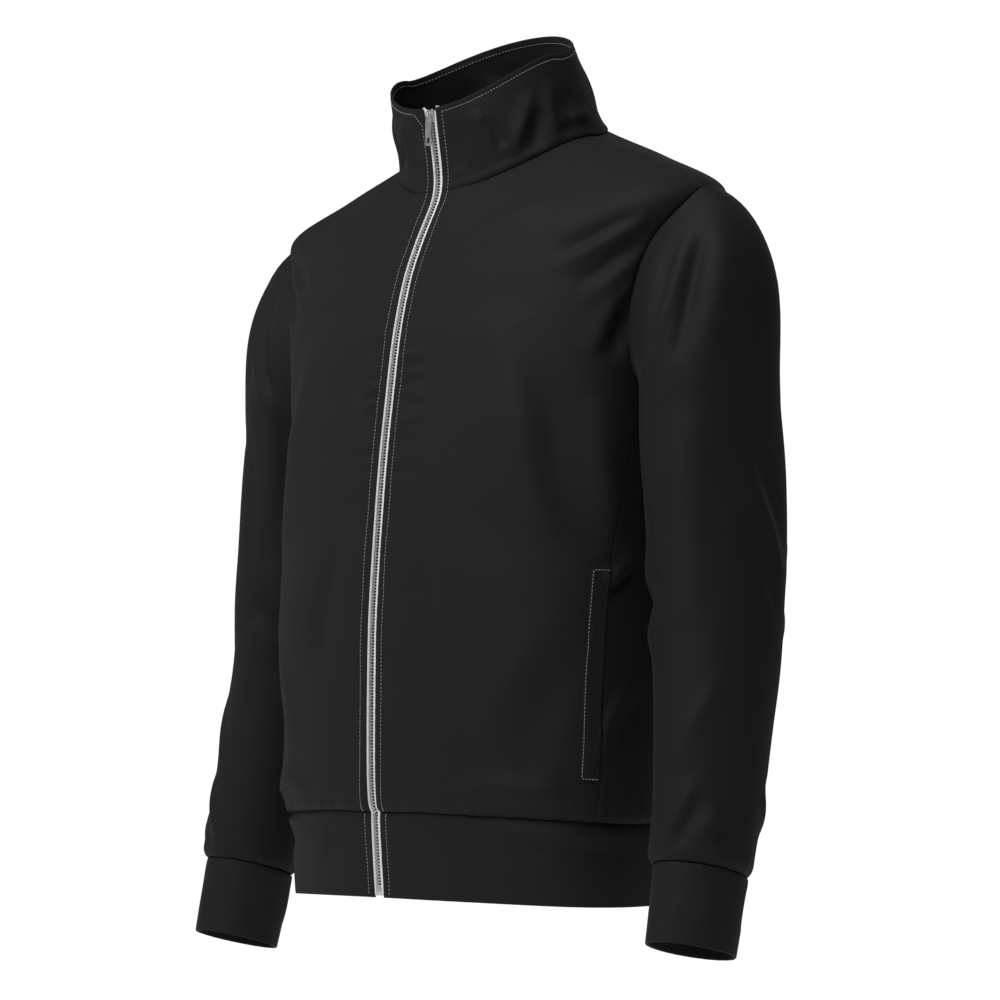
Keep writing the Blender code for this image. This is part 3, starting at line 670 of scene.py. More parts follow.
def tape_material():
    """White woven polyester tape: a fine twill, its hollows slightly greyed by painted shade."""
    color = (0.92, 0.92, 0.93)
    made, tree, shader = start_material("woven_tape", color, 0.72, specular=0.3)
    uv = node(tree, "UVMap", uv_map="UVMap").outputs["UV"]
    split = node(tree, "SeparateXYZ", {"Vector": uv})
    across = calc(tree, "ABSOLUTE", calc(tree, "SUBTRACT", split.outputs["X"], 0.0062))
    slanted = total(tree, split.outputs["Y"], across)
    twill = calc(tree, "SINE", calc(tree, "MULTIPLY", slanted, 2 * math.pi / 0.0011))
    fuzz = noise(tree, uv, 3000)
    bumped(tree, shader, total(tree, twill, fuzz), 0.35, 0.00012)
    # The twill term is painted shade, greyer where the twill's bump sinks; the fuzz term varies the tone at
    # random.
    shade = total(tree, ranged(tree, twill, 0.90, 1.0, -1.0, 1.0), ranged(tree, fuzz, -0.04, 0.04))
    tinted(tree, shader, color, shade)
    return made


def metal_material():
    """Bright silver zip metal with a brushed grain and duller patches from handling."""
    color = (0.86, 0.86, 0.87)
    made, tree, shader = start_material("zip_silver", color, 0.34, metallic=1.0)
    place = node(tree, "TexCoord").outputs["Object"]
    grain = noise(tree, place, 900, (6, 6, 0.6))
    worn = noise(tree, place, 260, detail=3.0)
    bumped(tree, shader, grain, 0.12, 0.00006)
    tinted(tree, shader, color, ranged(tree, worn, 0.86, 1.04, 0.3, 0.7))
    rough = total(tree, ranged(tree, worn, 0.27, 0.44, 0.3, 0.7), ranged(tree, grain, -0.04, 0.04))
    tree.links.new(rough, shader.inputs["Roughness"])
    return made


def thread_material():
    """White sewing thread, two plies twisted round each other, slightly soiled, with painted shade in the
    grooves between the plies.
    """
    color = (0.42, 0.42, 0.43)
    made, tree, shader = start_material("stitch_thread", color, 0.6, specular=0.35)
    uv = node(tree, "UVMap", uv_map="UVMap").outputs["UV"]
    split = node(tree, "SeparateXYZ", {"Vector": uv})
    along = total(tree, split.outputs["X"], split.outputs["Y"])
    twist = calc(tree, "SINE", calc(tree, "MULTIPLY", along, 2 * math.pi))
    place = node(tree, "TexCoord").outputs["Object"]
    soil = noise(tree, place, 420)
    bumped(tree, shader, twist, 0.4, 0.00008)
    # The twist term is painted shade, darker in the grooves where the twist's bump sinks; soil varies the tone
    # at random as dirt.
    shade = total(tree, ranged(tree, twist, 0.88, 1.04, -1.0, 1.0), ranged(tree, soil, -0.10, 0.10))
    tinted(tree, shader, color, shade)
    return made


MATERIALS = {
    "shell_knit": knit_material(),
    "zip_tape": tape_material(),
    "zip_metal": metal_material(),
    "topstitch_thread": thread_material(),
}


# --- Cloth ------------------------------------------------------------------------------------------------
def varied(folds, seed):
    """The same folds for the other side, each a little changed in depth, width and height."""
    random = np.random.default_rng(seed)
    made = []
    for height, width, skew, path in folds:
        deep, wide, up = random.uniform(0.65, 1.1), random.uniform(0.9, 1.25), random.uniform(-0.005, 0.005)
        made.append((height * deep, width * wide, skew, tuple((place, z + up) for place, z in path)))
    return made


def ring_place(table, mirror=False):
    """A function that turns (degrees, z) into a point of a ring surface."""
    levels = np.linspace(0, len(table) - 1, 10 * len(table))
    rows = [smooth(table, v) for v in levels]

    def place(degrees, z):
        turned = 360 - degrees if mirror else degrees
        column = np.concatenate([ring(row, turned) for row in rows])
        order = np.argsort(column[:, 2])
        return np.array([np.interp(z, column[order, 2], column[order, k]) for k in range(3)])

    return place


def arm_place(grid):
    """A function that turns (degrees round the arm, z) into a point of a sleeve or cuff grid."""
    count = grid.shape[1]

    def place(angle, z):
        spot = (angle % 360) / 360 * count
        low, share = int(spot) % count, spot - int(spot)
        column = grid[:, low] * (1 - share) + grid[:, (low + 1) % count] * share
        order = np.argsort(column[:, 2])
        return np.array([np.interp(z, column[order, 2], column[order, k]) for k in range(3)])

    return place


def folds_on(grid, normals, folds, place):
    points, out = grid.reshape(-1, 3), normals.reshape(-1, 3)
    return sum(fold_height(points, out, fold, place) for fold in folds).reshape(grid.shape[:2])


def length_down(grid):
    """The length along each column from the first row, in metres."""
    steps = np.linalg.norm(np.diff(grid, axis=0), axis=2)
    return np.concatenate([np.zeros((1, grid.shape[1])), np.cumsum(steps, axis=0)])


def dip(distance, width=0.0016, depth=0.0007):
    return -depth * np.exp(-((distance / width) ** 2))


def pressed(from_zip):
    """The line that the stitching beside the zip presses in."""
    return dip(from_zip - STITCH_FROM_ZIP, 0.0012, 0.0003)


def both_sides(grid, normals, table, folds, seed):
    """A band's folds on its left, and the same folds a little changed on its right."""
    height = folds_on(grid, normals, folds, ring_place(table))
    return height + folds_on(grid, normals, varied(folds, seed), ring_place(table, mirror=True))


def arm_uv(grid, radius):
    """A tube's UV in metres, round and down it, with the first column again at the end."""
    angle = np.linspace(0, 360, grid.shape[1] + 1)
    around = np.broadcast_to(angle * math.pi / 180 * radius, (len(grid), len(angle)))
    down = length_down(grid)
    return around, np.concatenate([down, down[:, :1]], axis=1)


def body_grid(start, end, columns):
    """A body panel's points, their way out, and how far each is from the row's start and end."""
    grid, normals, from_start, from_end, around = [], [], [], [], []
    for v in body_levels():
        row = smooth(RINGS, v)
        scale = metres_per_degree(row)
        degrees = spread(start(v), end(v), scale, columns)
        grid.append(ring(row, degrees))
        normals.append(normals_at(RINGS, v, degrees))
        from_start.append((degrees - degrees[0]) * scale)
        from_end.append((degrees[-1] - degrees) * scale)
        around.append(degrees * scale)
    return [np.array(a) for a in (grid, normals, from_start, from_end, around)]


def meet_sleeve(normals, distance, columns, back):
    """Turns a panel's way out near the armhole into the one that it shares with the sleeve."""
    first = len(body_levels()) - 43 - LOOP_STEPS
    for k in range(LOOP_STEPS + 1):
        row = first + LOOP_STEPS - k
        share = np.clip(1 - distance[row, columns] / 0.004, 0, 1)[:, None]
        shared = SLEEVE_EDGE[(-k if back else k) % (2 * LOOP_STEPS)]
        normals[row, columns] = unit(normals[row, columns] * (1 - share) + shared * share)


def front_start(v):
    return ZIP_HALF / metres_per_degree(smooth(RINGS, v))


def front_end(v):
    return seam(v) - (bite(v, BITE_FRONT) or 0.0) - SEAM_GAP / 2 / metres_per_degree(smooth(RINGS, v))


def back_start(v):
    return seam(v) + (bite(v, BITE_BACK) or 0.0) + SEAM_GAP / 2 / metres_per_degree(smooth(RINGS, v))


def near_chest(spot):
    """How strongly the zip puckers, most over the chest. spot is the height above the lowest pucker."""
    z = spot + PUCKERS_FROM
    return 0.25 + 0.9 * math.exp(-(((z + 0.215) / 0.055) ** 2)) + 0.35 * math.exp(-(((z + 0.07) / 0.03) ** 2))


def body_height(grid, normals, down, folds, place):
    """What front and back share: folds, unevenness, and the seams at neck and waistband."""
    up = down[-1][None] - down
    height = folds_on(grid, normals, folds, place) + drift(grid.reshape(-1, 3), 11).reshape(down.shape)
    height += dip(down) + dip(up) + band(up, 0.006, 0.00025)
    return height


def build_front(name):
    side, seed = SIDES[name], 21 if name == "left" else 22
    grid, normals, from_zip, from_seam, around = body_grid(front_start, front_end, 92)
    beside_zip(grid, normals, from_zip)
    meet_sleeve(normals, from_seam, slice(-12, None), False)
    down = length_down(grid)
    height = body_height(grid, normals, down, BODY_FOLDS[name], BODY_PLACE)
    height += dip(from_seam, depth=0.0002) + band(from_seam, 0.008, 0.0003)
    height += band(from_zip, STITCH_FROM_ZIP, 0.0003) + pressed(from_zip)
    away = np.clip(from_zip - 0.0072, 0, None)
    tall = grid[..., 2] - PUCKERS_FROM
    height += gathers(tall, away, 0.54, 0.0110, 0.0028, 0.032, seed, near_chest)
    height -= gathers(tall, away, 0.54, 0.0120, 0.0016, 0.026, seed + 9, near_chest)
    height += gathers(around, down, 0.26, 0.0150, 0.0012, 0.022, seed + 3)
    fade = np.clip(from_zip / 0.004, 0.25, 1)
    return cloth(f"cloth_front_{name}", grid, normals, height * fade, CLOTH, around, down, side=side)


def build_back():
    grid, normals, from_left, from_right, around = body_grid(back_start, lambda v: 360 - back_start(v), 184)
    meet_sleeve(normals, from_left, slice(0, 12), True)
    mirror = np.array([-1, 1, 1])
    normals[:, -12:] = (normals[:, :12] * mirror)[:, ::-1]
    down = length_down(grid)
    height = body_height(grid, normals, down, BODY_FOLDS["left"], BODY_PLACE)
    height += folds_on(grid, normals, BODY_FOLDS["right"], ring_place(RINGS, mirror=True))
    from_seam = np.minimum(from_left, from_right)
    height += dip(from_seam) + gathers(around - around[:, :1], down, 0.60, 0.0150, 0.0013, 0.022, 33)
    return cloth("cloth_back", grid, normals, height, CLOTH, around, down)


def build_sleeve(name):
    grid, normals, seed = SLEEVE, SLEEVE_OUT, 51 if name == "left" else 52
    down = length_down(grid)
    up = down[-1][None] - down
    angle = np.arange(grid.shape[1]) * 360 / grid.shape[1]
    height = folds_on(grid, normals, ARM_FOLDS[name], arm_place(grid))
    height += drift(grid.reshape(-1, 3), seed - 10, 0.0009).reshape(down.shape)
    front = 0.55 + 0.45 * np.cos(np.radians(angle - 60))
    height += (0.0010 * front[None]) * np.exp(-(((down - 0.0030) / 0.0026) ** 2))
    loop = np.broadcast_to(angle / 360 * 0.40, down.shape)
    height += gathers(loop, down, 0.40, 0.0120, 0.0008, 0.016, seed)
    height += gathers(loop, up, 0.40, 0.0130, 0.0010, 0.022, seed + 2)
    under = np.abs(angle - 180) * math.pi / 180 * 0.05
    height += dip(under, 0.0028, 0.0006)[None] + dip(down, depth=0.0001) + dip(up, 0.0012, 0.0004)
    around, down = arm_uv(grid, 0.055)
    lowered = hung(grid, ARM_DROP[name])
    lowered[0] += SEAM_GAP * unit(lowered[1] - lowered[0])
    return cloth(f"cloth_sleeve_{name}", lowered, normals, height, CLOTH, around, down, True, SIDES[name])


def build_cuff(name):
    grid, normals = cuff_grid()
    around, down = arm_uv(grid, 0.038)
    height = folds_on(grid, normals, CUFF_FOLDS, arm_place(grid))
    height += drift(grid.reshape(-1, 3), 61, 0.0006).reshape(height.shape)
    seed = 63 if name == "left" else 64
    height += gathers(around[:, :-1], down[:, :-1], 0.24, 0.0110, 0.0008, 0.010, seed)
    lowered, side = hung(grid, ARM_DROP[name]), SIDES[name]
    return cloth(f"cloth_cuff_{name}", lowered, normals, height, DOUBLE_CLOTH, around, down, True, side)


def band_grid(table, steps, columns, flare):
    """A band round the body, open at the zip. flare opens its right edge further, in metres for a level."""
    grid, normals, around, from_zip = [], [], [], []
    for v in steps:
        row = smooth(table, v)
        scale = metres_per_degree(row)
        edge = ZIP_HALF / scale
        degrees = spread(edge, 360 - edge - flare(v) / scale, scale, columns)
        grid.append(ring(row, degrees))
        normals.append(normals_at(table, v, degrees))
        around.append(degrees * scale)
        from_zip.append(np.minimum(degrees - degrees[0], degrees[-1] - degrees) * scale)
    return [np.array(a) for a in (grid, normals, around, from_zip)]


def tuck_in(grid, normals, up, inward):
    """Tucks a band's sewn edge behind the body's cloth, so that no light comes through the seam."""
    grid[0] += np.array([0, 0, up]) - inward * normals[0]


def eased(value):
    value = np.clip(value, 0, 1)
    return value * value * (3 - 2 * value)


def collar_flare(v):
    """How far the collar's right front edge opens at its top."""
    return 0.0050 * eased((v - 2.25) / 0.75)


def build_collar():
    ends = [0, 0.015, 0.035, 0.06, 0.1, 0.15], [2.9, 2.94, 2.965, 2.985, 3]
    steps = np.concatenate([ends[0], np.linspace(0.2, 2.85, 48), ends[1]])
    grid, normals, around, from_zip = band_grid(COLLAR, steps, 250, collar_flare)
    tuck_in(grid, normals, -0.0030, 0.0012)
    beside_zip(grid, normals, from_zip)
    down = length_down(grid)
    up = down[-1][None] - down
    height = both_sides(grid, normals, COLLAR, COLLAR_FOLDS, 71)
    height += folds_on(grid, normals, COLLAR_BOW, ring_place(COLLAR, mirror=True)) * eased(down / 0.035)
    height += drift(grid.reshape(-1, 3), 72, 0.0007).reshape(down.shape)
    height += dip(down, 0.0020, 0.0006) + 0.0010 * np.exp(-(((down - 0.006) / 0.004) ** 2))
    height += dip(up - STITCH_FROM_RIM, 0.0014, 0.0004) + pressed(from_zip)
    height *= np.clip(from_zip / 0.006, 0.2, 1) * np.clip(up / 0.006, 0.35, 1)
    height += gathers(around, down, 0.60, 0.0130, 0.0007, 0.014, 73)
    return cloth("cloth_collar", grid, normals, height, DOUBLE_CLOTH, around, down)


def build_waistband():
    ends = [0, 0.05, 0.12, 0.22, 0.35, 0.5, 0.7], [2.95, 2.975, 2.99, 3]
    steps = np.concatenate([ends[0], np.linspace(0.9, 2.92, 30), ends[1]])
    grid, normals, around, from_zip = band_grid(WAISTBAND, steps, 350, lambda v: 0.0)
    tuck_in(grid, normals, 0.0042, 0.0016)
    down = length_down(grid)
    height = both_sides(grid, normals, WAISTBAND, WAISTBAND_FOLDS, 81)
    height += drift(grid.reshape(-1, 3), 82, 0.0006).reshape(down.shape)
    height += gathers(around, down, 1.05, 0.0140, 0.0011, 0.012, 83)
    height += pressed(from_zip)
    height *= np.clip(from_zip / 0.006, 0.2, 1)
    return cloth("cloth_waistband", grid, normals, height, DOUBLE_CLOTH, around, down)


def pocket_level(z):
    """The body level at one height beside the pocket."""
    return float(np.interp(z, POCKET_HEIGHTS, POCKET_LEVELS))


def build_welt(name, front):
    """The pocket's welt, a strip laid on the front just ahead of the side seam."""
    tree, mirror = skin_of(front), np.array([SIDES[name], 1, 1])
    grid, normals, across = [], [], []
    shares = np.concatenate([[0, 0.02, 0.05, 0.1], np.linspace(0.16, 0.84, 12), [0.9, 0.95, 0.98, 1]])
    ends = [0, 0.0004, 0.001, 0.002], [0.171, 0.172, 0.1726, 0.173]
    for z in np.concatenate([ends[0], np.linspace(0.004, 0.169, 60), ends[1]]):
        v = pocket_level(POCKET_BOTTOM + z)
        row = smooth(RINGS, v)
        wide, gap = POCKET_WIDTH / metres_per_degree(row), 0.0004 / metres_per_degree(row)
        degrees = seam(v) - wide + shares * (wide - gap)
        grid.append([list(tree.find_nearest(Vector(p))[0]) for p in ring(row, degrees) * mirror])
        normals.append(normals_at(RINGS, v, degrees) * mirror)
        across.append((degrees - degrees[0]) * metres_per_degree(row))
    grid, normals, across = np.array(grid), np.array(normals), np.array(across)
    down = length_down(grid)
    low = np.clip(1 - down / 0.095, 0, 1)
    soft = 0.0013 * np.sin(math.pi * np.clip(across / 0.0176, 0, 1)) * low
    ridge = 0.0005 * np.exp(-(((across - 0.0156) / 0.0014) ** 2))
    rise = 0.0008 + soft * (0.7 + 0.3 * np.sin(down * 70)) + ridge
    outer, inner = grid + rise[..., None] * normals, grid + 0.00012 * normals
    round_off = rolled(edge_distance(grid, False).reshape(rise.shape), 0.0005)
    outer -= round_off[..., None] * normals
    obj = shell(f"cloth_pocket_welt_{name}", outer, inner, across, down, "shell_knit")
    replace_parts(obj, f"pocket_welt_{name}")
    return obj


# --- Stitching, zip ---------------------------------------------------------------------------------------
def skin_of(obj):
    """A tree of one object's faces, for laying things on it."""
    faces = [tuple(face.vertices) for face in obj.data.polygons]
    return BVHTree.FromPolygons([vertex.co for vertex in obj.data.vertices], faces)


def tube_faces(rings, sides):
    """The faces of a tube of rings with the same number of sides, closed at both ends."""
    faces = [
        (r * sides + k, r * sides + (k + 1) % sides, (r + 1) * sides + (k + 1) % sides, (r + 1) * sides + k)
        for r in range(rings - 1)
        for k in range(sides)
    ]
    last = rings * sides - 1
    return [*faces, tuple(range(sides)), tuple(range(last, last - sides, -1))]


def repeated(name, template, frames, slot, body="jacket", uv=None):
    """Copies of one small closed shape as one piece. A frame is an origin and three axes as rows."""
    verts, faces = template
    points, all_faces = [], []
    for k, (origin, axes) in enumerate(frames):
        points.append(origin + verts @ axes)
        all_faces += [tuple(i + k * len(verts) for i in face) for face in faces]
    points = np.concatenate(points)
    corner_uv = None if uv is None else np.array([uv[i % len(verts)] for face in all_faces for i in face])
    return face_out(mesh_object(name, points, all_faces, slot, corner_uv, body))


def stitch_template():
    """One stitch along X: a thread that bends down into the cloth at both ends."""
    sides, steps = 7, np.array([-0.5, -0.46, -0.34, -0.12, 0.12, 0.34, 0.46, 0.5])
    thick = np.array([0.55, 0.85, 1.0, 1.0, 1.0, 1.0, 0.85, 0.55]) * STITCH_RADIUS
    lift = np.array([-1.6, -1.0, -0.1, 0.25, 0.25, -0.1, -1.0, -1.6]) * STITCH_RADIUS
    turn = np.arange(sides) * 2 * math.pi / sides
    verts, uv = [], []
    for step, radius, up in zip(steps, thick, lift):
        for k, t in enumerate(turn):
            verts.append((step * STITCH_LONG, radius * math.cos(t), up + radius * math.sin(t)))
            uv.append((step * 4, k / sides))
    return (np.array(verts), tube_faces(len(steps), sides)), uv


def spaced(line, step):
    line = np.asarray(line, float)
    along = np.concatenate([[0], np.cumsum(np.linalg.norm(np.diff(line[:, :3], axis=0), axis=1))])
    at = np.arange(step / 2, along[-1], step)
    return np.stack([np.interp(at, along, column) for column in line.T], axis=1)


def laid(point, way, skins):
    """Where a ray from a point first meets one of the skins, and the face's way out there."""
    hits = [hit for skin in skins if (hit := skin.ray_cast(Vector(point), Vector(way), 0.03))[0] is not None]
    hit = min(hits, key=lambda hit: hit[3]) if hits else skins[0].find_nearest(Vector(point))
    return hit[0], hit[1]


def stitches(lines, skins, seed):
    """Frames for stitches along lines, laid on the nearest of the skins and a little uneven."""
    random = np.random.default_rng(seed)
    frames = []
    for line in lines:
        spots = spaced(line, STITCH_PITCH)
        found = [laid(spot[:3], spot[3:], skins) for spot in spots]
        points = np.array([hit[0] for hit in found])
        ways = np.gradient(points, axis=0)
        for (point, normal), way in zip(found, ways):
            out = np.array(normal)
            along = unit(way - (way @ out) * out)
            across = np.cross(out, along)
            along = unit(along + across * random.normal(0, 0.03))
            across = np.cross(out, along)
            origin = np.array(point) + STITCH_RADIUS * 0.55 * out + across * random.normal(0, 0.00006)
            frames.append((origin, np.array([along * random.uniform(0.93, 1.05), across, out])))
    return frames


def above(table, v, degrees, lift=0.0080):
    """Points off a surface, each with the way back to the face to stitch on."""
    out = normals_at(table, v, degrees)
    points = ring(smooth(table, v), degrees) + lift * out
    return np.concatenate([points, -math.copysign(1, lift) * out], axis=1)


def line_beside_zip(table, low, high, side, flare=None):
    """A stitch line beside the zip on one table, from its level low to high."""
    line = []
    for v in np.linspace(low, high, max(8, int(abs(high - low) * 14))):
        away = STITCH_FROM_CENTRE + (flare(v) if flare else 0)
        line.append(above(table, v, side * away / metres_per_degree(smooth(table, v)))[0])
    return line


def stitch_flare(v):
    """How far the right stitch line turns out from the zip below the collar's rim."""
    return STITCH_TURNS_OUT * float(np.clip((v - 2.44) / 0.37, 0, 1))


def rim_line(inside):
    """The stitch line under the collar's rim, on the outer or the inner face."""
    scale = metres_per_degree(smooth(COLLAR, RIM_LEVEL))
    end = 360 - (STITCH_FROM_CENTRE + STITCH_TURNS_OUT) / scale
    degrees = np.linspace(STITCH_FROM_CENTRE / scale, end, 240)
    return above(COLLAR, RIM_LEVEL, degrees, -DOUBLE_CLOTH - 0.0060 if inside else 0.0080)


def build_stitching(pieces):
    skins = {name: skin_of(obj) for name, obj in pieces.items()}
    template, uv = stitch_template()
    for name, side in SIDES.items():
        flare = stitch_flare if side < 0 else None
        frames = stitches([line_beside_zip(WAISTBAND, 2.93, 0.12, side)], [skins["waistband"]], 91)
        frames += stitches([line_beside_zip(RINGS, 0.1, 11.95, side)], [skins[f"front_{name}"]], 92)
        frames += stitches([line_beside_zip(COLLAR, 0.06, RIM_LEVEL, side, flare)], [skins["collar"]], 93)
        repeated(f"stitches_zip_{name}", template, frames, "topstitch_thread", uv=uv)
        frames = stitches(pocket_lines(side), [skins[f"pocket_welt_{name}"], skins[f"front_{name}"]], 94)
        repeated(f"stitches_pocket_{name}", template, frames, "topstitch_thread", uv=uv)
    frames = stitches([rim_line(False)], [skins["collar"]], 95)
    frames += stitches([rim_line(True)], [skins["collar"]], 96)
    repeated("stitches_collar_rim", template, frames, "topstitch_thread", uv=uv)


def pocket_lines(side):
    """The stitched box of a pocket: across its top, down its length and across its foot."""

    def spot(z, away):
        v = pocket_level(z)
        return above(RINGS, v, side * (seam(v) - away / metres_per_degree(smooth(RINGS, v))))[0]

    top, bottom = POCKET_TOP - 0.0010, POCKET_BOTTOM + 0.0010
    across = np.linspace(0.0012, POCKET_WIDTH - 0.0012, 8)
    long = np.linspace(top, bottom, 60)
    return [
        [spot(top, away) for away in across],
        [spot(z, POCKET_WIDTH - 0.0014) for z in long],
        [spot(bottom, away) for away in across[::-1]],
    ]


def zip_path():
    """The zip's line from hem to collar, 1 mm apart: points, way up, way out, and how far it moved out."""
    line = [ring(smooth(WAISTBAND, v), 0)[0] for v in np.linspace(2.99, 0.2, 24)]
    line += [ring(smooth(RINGS, v), 0)[0] for v in np.linspace(0.6, 11.9, 160)]
    line += [ring(smooth(COLLAR, v), 0)[0] for v in np.linspace(0.05, 3, 40)]
    points = spaced(line, 0.001)
    reach = np.arange(-48, 49)
    weights = np.exp(-((reach / 20.0) ** 2))
    index = np.clip(np.arange(len(points))[:, None] + reach, 0, len(points) - 1)
    ends = np.minimum(np.arange(len(points)), len(points) - 1 - np.arange(len(points)))
    soft = (points[index] * weights[None, :, None]).sum(axis=1) / weights.sum()
    keep = eased(ends / 50)[:, None] * np.exp(-(((points[:, 2:] + 0.045) / 0.06) ** 4))
    moved = points * (1 - keep) + soft * keep
    up = unit(np.gradient(moved, axis=0))
    out = unit(np.stack([np.zeros(len(up)), -up[:, 2], up[:, 1]], axis=1))
    lift = ((moved - points) * out).sum(axis=1)
    return (moved, up, out), (moved[:, 2], lift)


def beside_zip(grid, normals, from_zip):
    """Moves the cloth beside the zip out with it, where the zip rounds the corner at the neck."""
    lift = np.interp(grid[..., 2], *ZIP_LIFT) * np.exp(-((from_zip / 0.030) ** 2))
    grid += lift[..., None] * unit(normals + np.array([0, -0.35, 0]))


def zip_frame(z):
    """The point, way up and way out of the zip at one height."""
    points, up, out = ZIP
    pick = [np.array([np.interp(z, points[:, 2], a[:, k]) for k in range(3)]) for a in (points, up, out)]
    return pick[0], unit(pick[1]), unit(pick[2])


def splay(z):
    """How far the two halves of the zip stand apart above the slider, on each side."""
    return 0.0046 * eased((z - 0.0285) / 0.0100)


def bevelled_block(corners, width, segments=2):
    """A block with rounded edges from 8 corners, low x first, then low y, then low z."""
    work = bmesh.new()
    verts = [work.verts.new(c) for c in corners]
    for face in ((0, 1, 3, 2), (4, 6, 7, 5), (0, 4, 5, 1), (2, 3, 7, 6), (0, 2, 6, 4), (1, 5, 7, 3)):
        work.faces.new([verts[i] for i in face])
    bmesh.ops.bevel(work, geom=work.edges[:], offset=width, segments=segments, profile=0.6, affect="EDGES")
    work.verts.index_update()
    made = np.array([v.co for v in work.verts]), [tuple(v.index for v in f.verts) for f in work.faces]
    work.free()
    return made


def build_teeth():
    """Two rows of teeth, one each side, half a pitch apart, that mesh along the centre."""
    corners = []
    for x, tall, deep in ((-0.00060, 0.00042, (-0.0014, 0.0002)), (0.0029, 0.00048, (-0.0017, 0.0005))):
        corners += [(x, y, z) for y in (-tall, tall) for z in deep]
    verts, faces = bevelled_block(corners, 0.00013)
    for name, side in SIDES.items():
        frames = []
        shift = 0 if side > 0 else TOOTH_PITCH / 2
        for z in np.arange(CHAIN_LOW + shift, CHAIN_TOP + 0.0075, TOOTH_PITCH):
            point, up, out = zip_frame(z)
            point = point + np.array([side * (splay(z) * 1.2 + 0.0004 * (z > CHAIN_TOP)), 0, 0])
            frames.append((point, np.array([[side, 0, 0], up, out])))
        obj = repeated(f"zip_teeth_{name}", (verts, faces), frames, "zip_metal")
        if side > 0:
            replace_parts(obj, "zip_chain")


def build_tape(name):
    """One side's woven tape, with its inner cord edge by the teeth and its splayed end at the collar."""
    side = SIDES[name]
    across, depth = np.array(TAPE_SECTION).T / 1000
    heights = np.concatenate([np.linspace(-0.6372, 0.024, 330), np.linspace(0.025, 0.0372, 16)])
    grid, normals = [], []
    for z in heights:
        point, up, out = zip_frame(z)
        open_by = splay(z)
        beyond = max(z - 0.0345, 0) / 0.0027
        seams = sum(math.exp(-(((z - level) / 0.007) ** 2)) for level in (NECK_Z, WAIST_Z))
        neck = 1 - 0.55 * seams * (across > 0.0056)
        narrow = across * (1 - 0.35 * min(beyond, 1) * (across / 0.012)) * neck
        wide = np.maximum(narrow, np.minimum(across, 0.0057))
        lift = 0.0008 * min(beyond, 1)
        row = point + (wide + open_by)[:, None] * np.array([side, 0, 0]) - (depth - lift)[:, None] * out
        row = row + (0.0020 * min(beyond, 1) * (1 - across / 0.012))[:, None] * up
        grid.append(row)
        normals.append(np.broadcast_to(out, row.shape))
    grid, normals = np.array(grid), np.array(normals)
    flat = np.broadcast_to(across, grid.shape[:2])
    obj = shell(f"tape_{name}", grid, grid - 0.0005 * normals, flat, length_down(grid), "zip_tape")
    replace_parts(obj, f"zip_tape_{name}")
    return obj


def rounded(points, radius, steps=5):
    """A closed outline, given in mm, with its corners rounded by a radius in metres."""
    points = np.array(points, float) / 1000
    made = []
    for k, corner in enumerate(points):
        before, after = unit(points[k - 1] - corner), unit(points[(k + 1) % len(points)] - corner)
        for t in np.linspace(0, 1, steps):
            a, b = corner + before * radius * (1 - t), corner + after * radius * t
            made.append(a * (1 - t) + b * t)
    return made


def plate(name, outlines, thick, bevel, origin, axes, slot, body):
    """A flat plate with rounded edges from an outline and its holes, in metres across and up."""
    curve = bpy.data.curves.new(name, "CURVE")
    curve.dimensions, curve.fill_mode = "2D", "BOTH"
    scale = 1000.0
    curve.extrude, curve.bevel_depth, curve.bevel_resolution = (thick / 2 - bevel) * scale, bevel * scale, 2
    curve.offset = -bevel * scale
    for outline in outlines:
        line = curve.splines.new("POLY")
        line.points.add(len(outline) - 1)
        for spot, (x, y) in zip(line.points, outline):
            spot.co = (x * scale, y * scale, 0, 1)
        line.use_cyclic_u = True
    helper = bpy.data.objects.new(name, curve)
    mesh = bpy.data.meshes.new_from_object(helper)
    bpy.data.objects.remove(helper)
    work = bmesh.new()
    work.from_mesh(mesh)
    bmesh.ops.remove_doubles(work, verts=work.verts[:], dist=0.004)
    work.verts.index_update()
    points = origin + np.array([v.co for v in work.verts]) / scale @ np.array(axes)
    faces = [tuple(v.index for v in f.verts) for f in work.faces]
    work.free()
    obj = face_out(mesh_object(name, points, faces, slot, None, body))
    obj.data.polygons.foreach_set("use_smooth", np.zeros(len(obj.data.polygons), bool))
    return obj


def merged(name, parts, slot, body="jacket"):
    points, faces = [], []
    for verts, part_faces in parts:
        start = sum(len(p) for p in points)
        faces += [tuple(i + start for i in face) for face in part_faces]
        points.append(np.asarray(verts))
    return face_out(mesh_object(name, np.concatenate(points), faces, slot, None, body))


def block_on(point, axes, across, up, out, width):
    """A rounded block in the zip's own directions."""
    corners = [(x, y, z) for x in across for y in up for z in out]
    verts, faces = bevelled_block(corners, width)
    return point + verts @ axes, faces


def arch(point, axes, half, inner, outer, centre, foot):
    """The slider's bridge: a strap that rises from the plate, arches over and goes back."""
    turns = np.linspace(0, math.pi, 15)
    path = [(-(inner + outer) / 2 - 0.0002, foot), *[
        (-math.cos(t) * (inner + outer) / 2, centre + math.sin(t) * (inner + outer) / 2) for t in turns
    ], ((inner + outer) / 2 + 0.0002, foot)]
    path = np.array(path)
    way = unit(np.gradient(path, axis=0))
    side = np.stack([-way[:, 1], way[:, 0]], axis=1) * (outer - inner) / 2
    soft = half * 0.72
    section = [(-half, 0.6), (-soft, 1), (soft, 1), (half, 0.6)]
    section += [(x, -share) for x, share in section[::-1]]
    verts = [(x, *(p + s * share)) for p, s in zip(path, side) for x, share in section]
    return point + np.array(verts) @ axes, tube_faces(len(path), len(section))


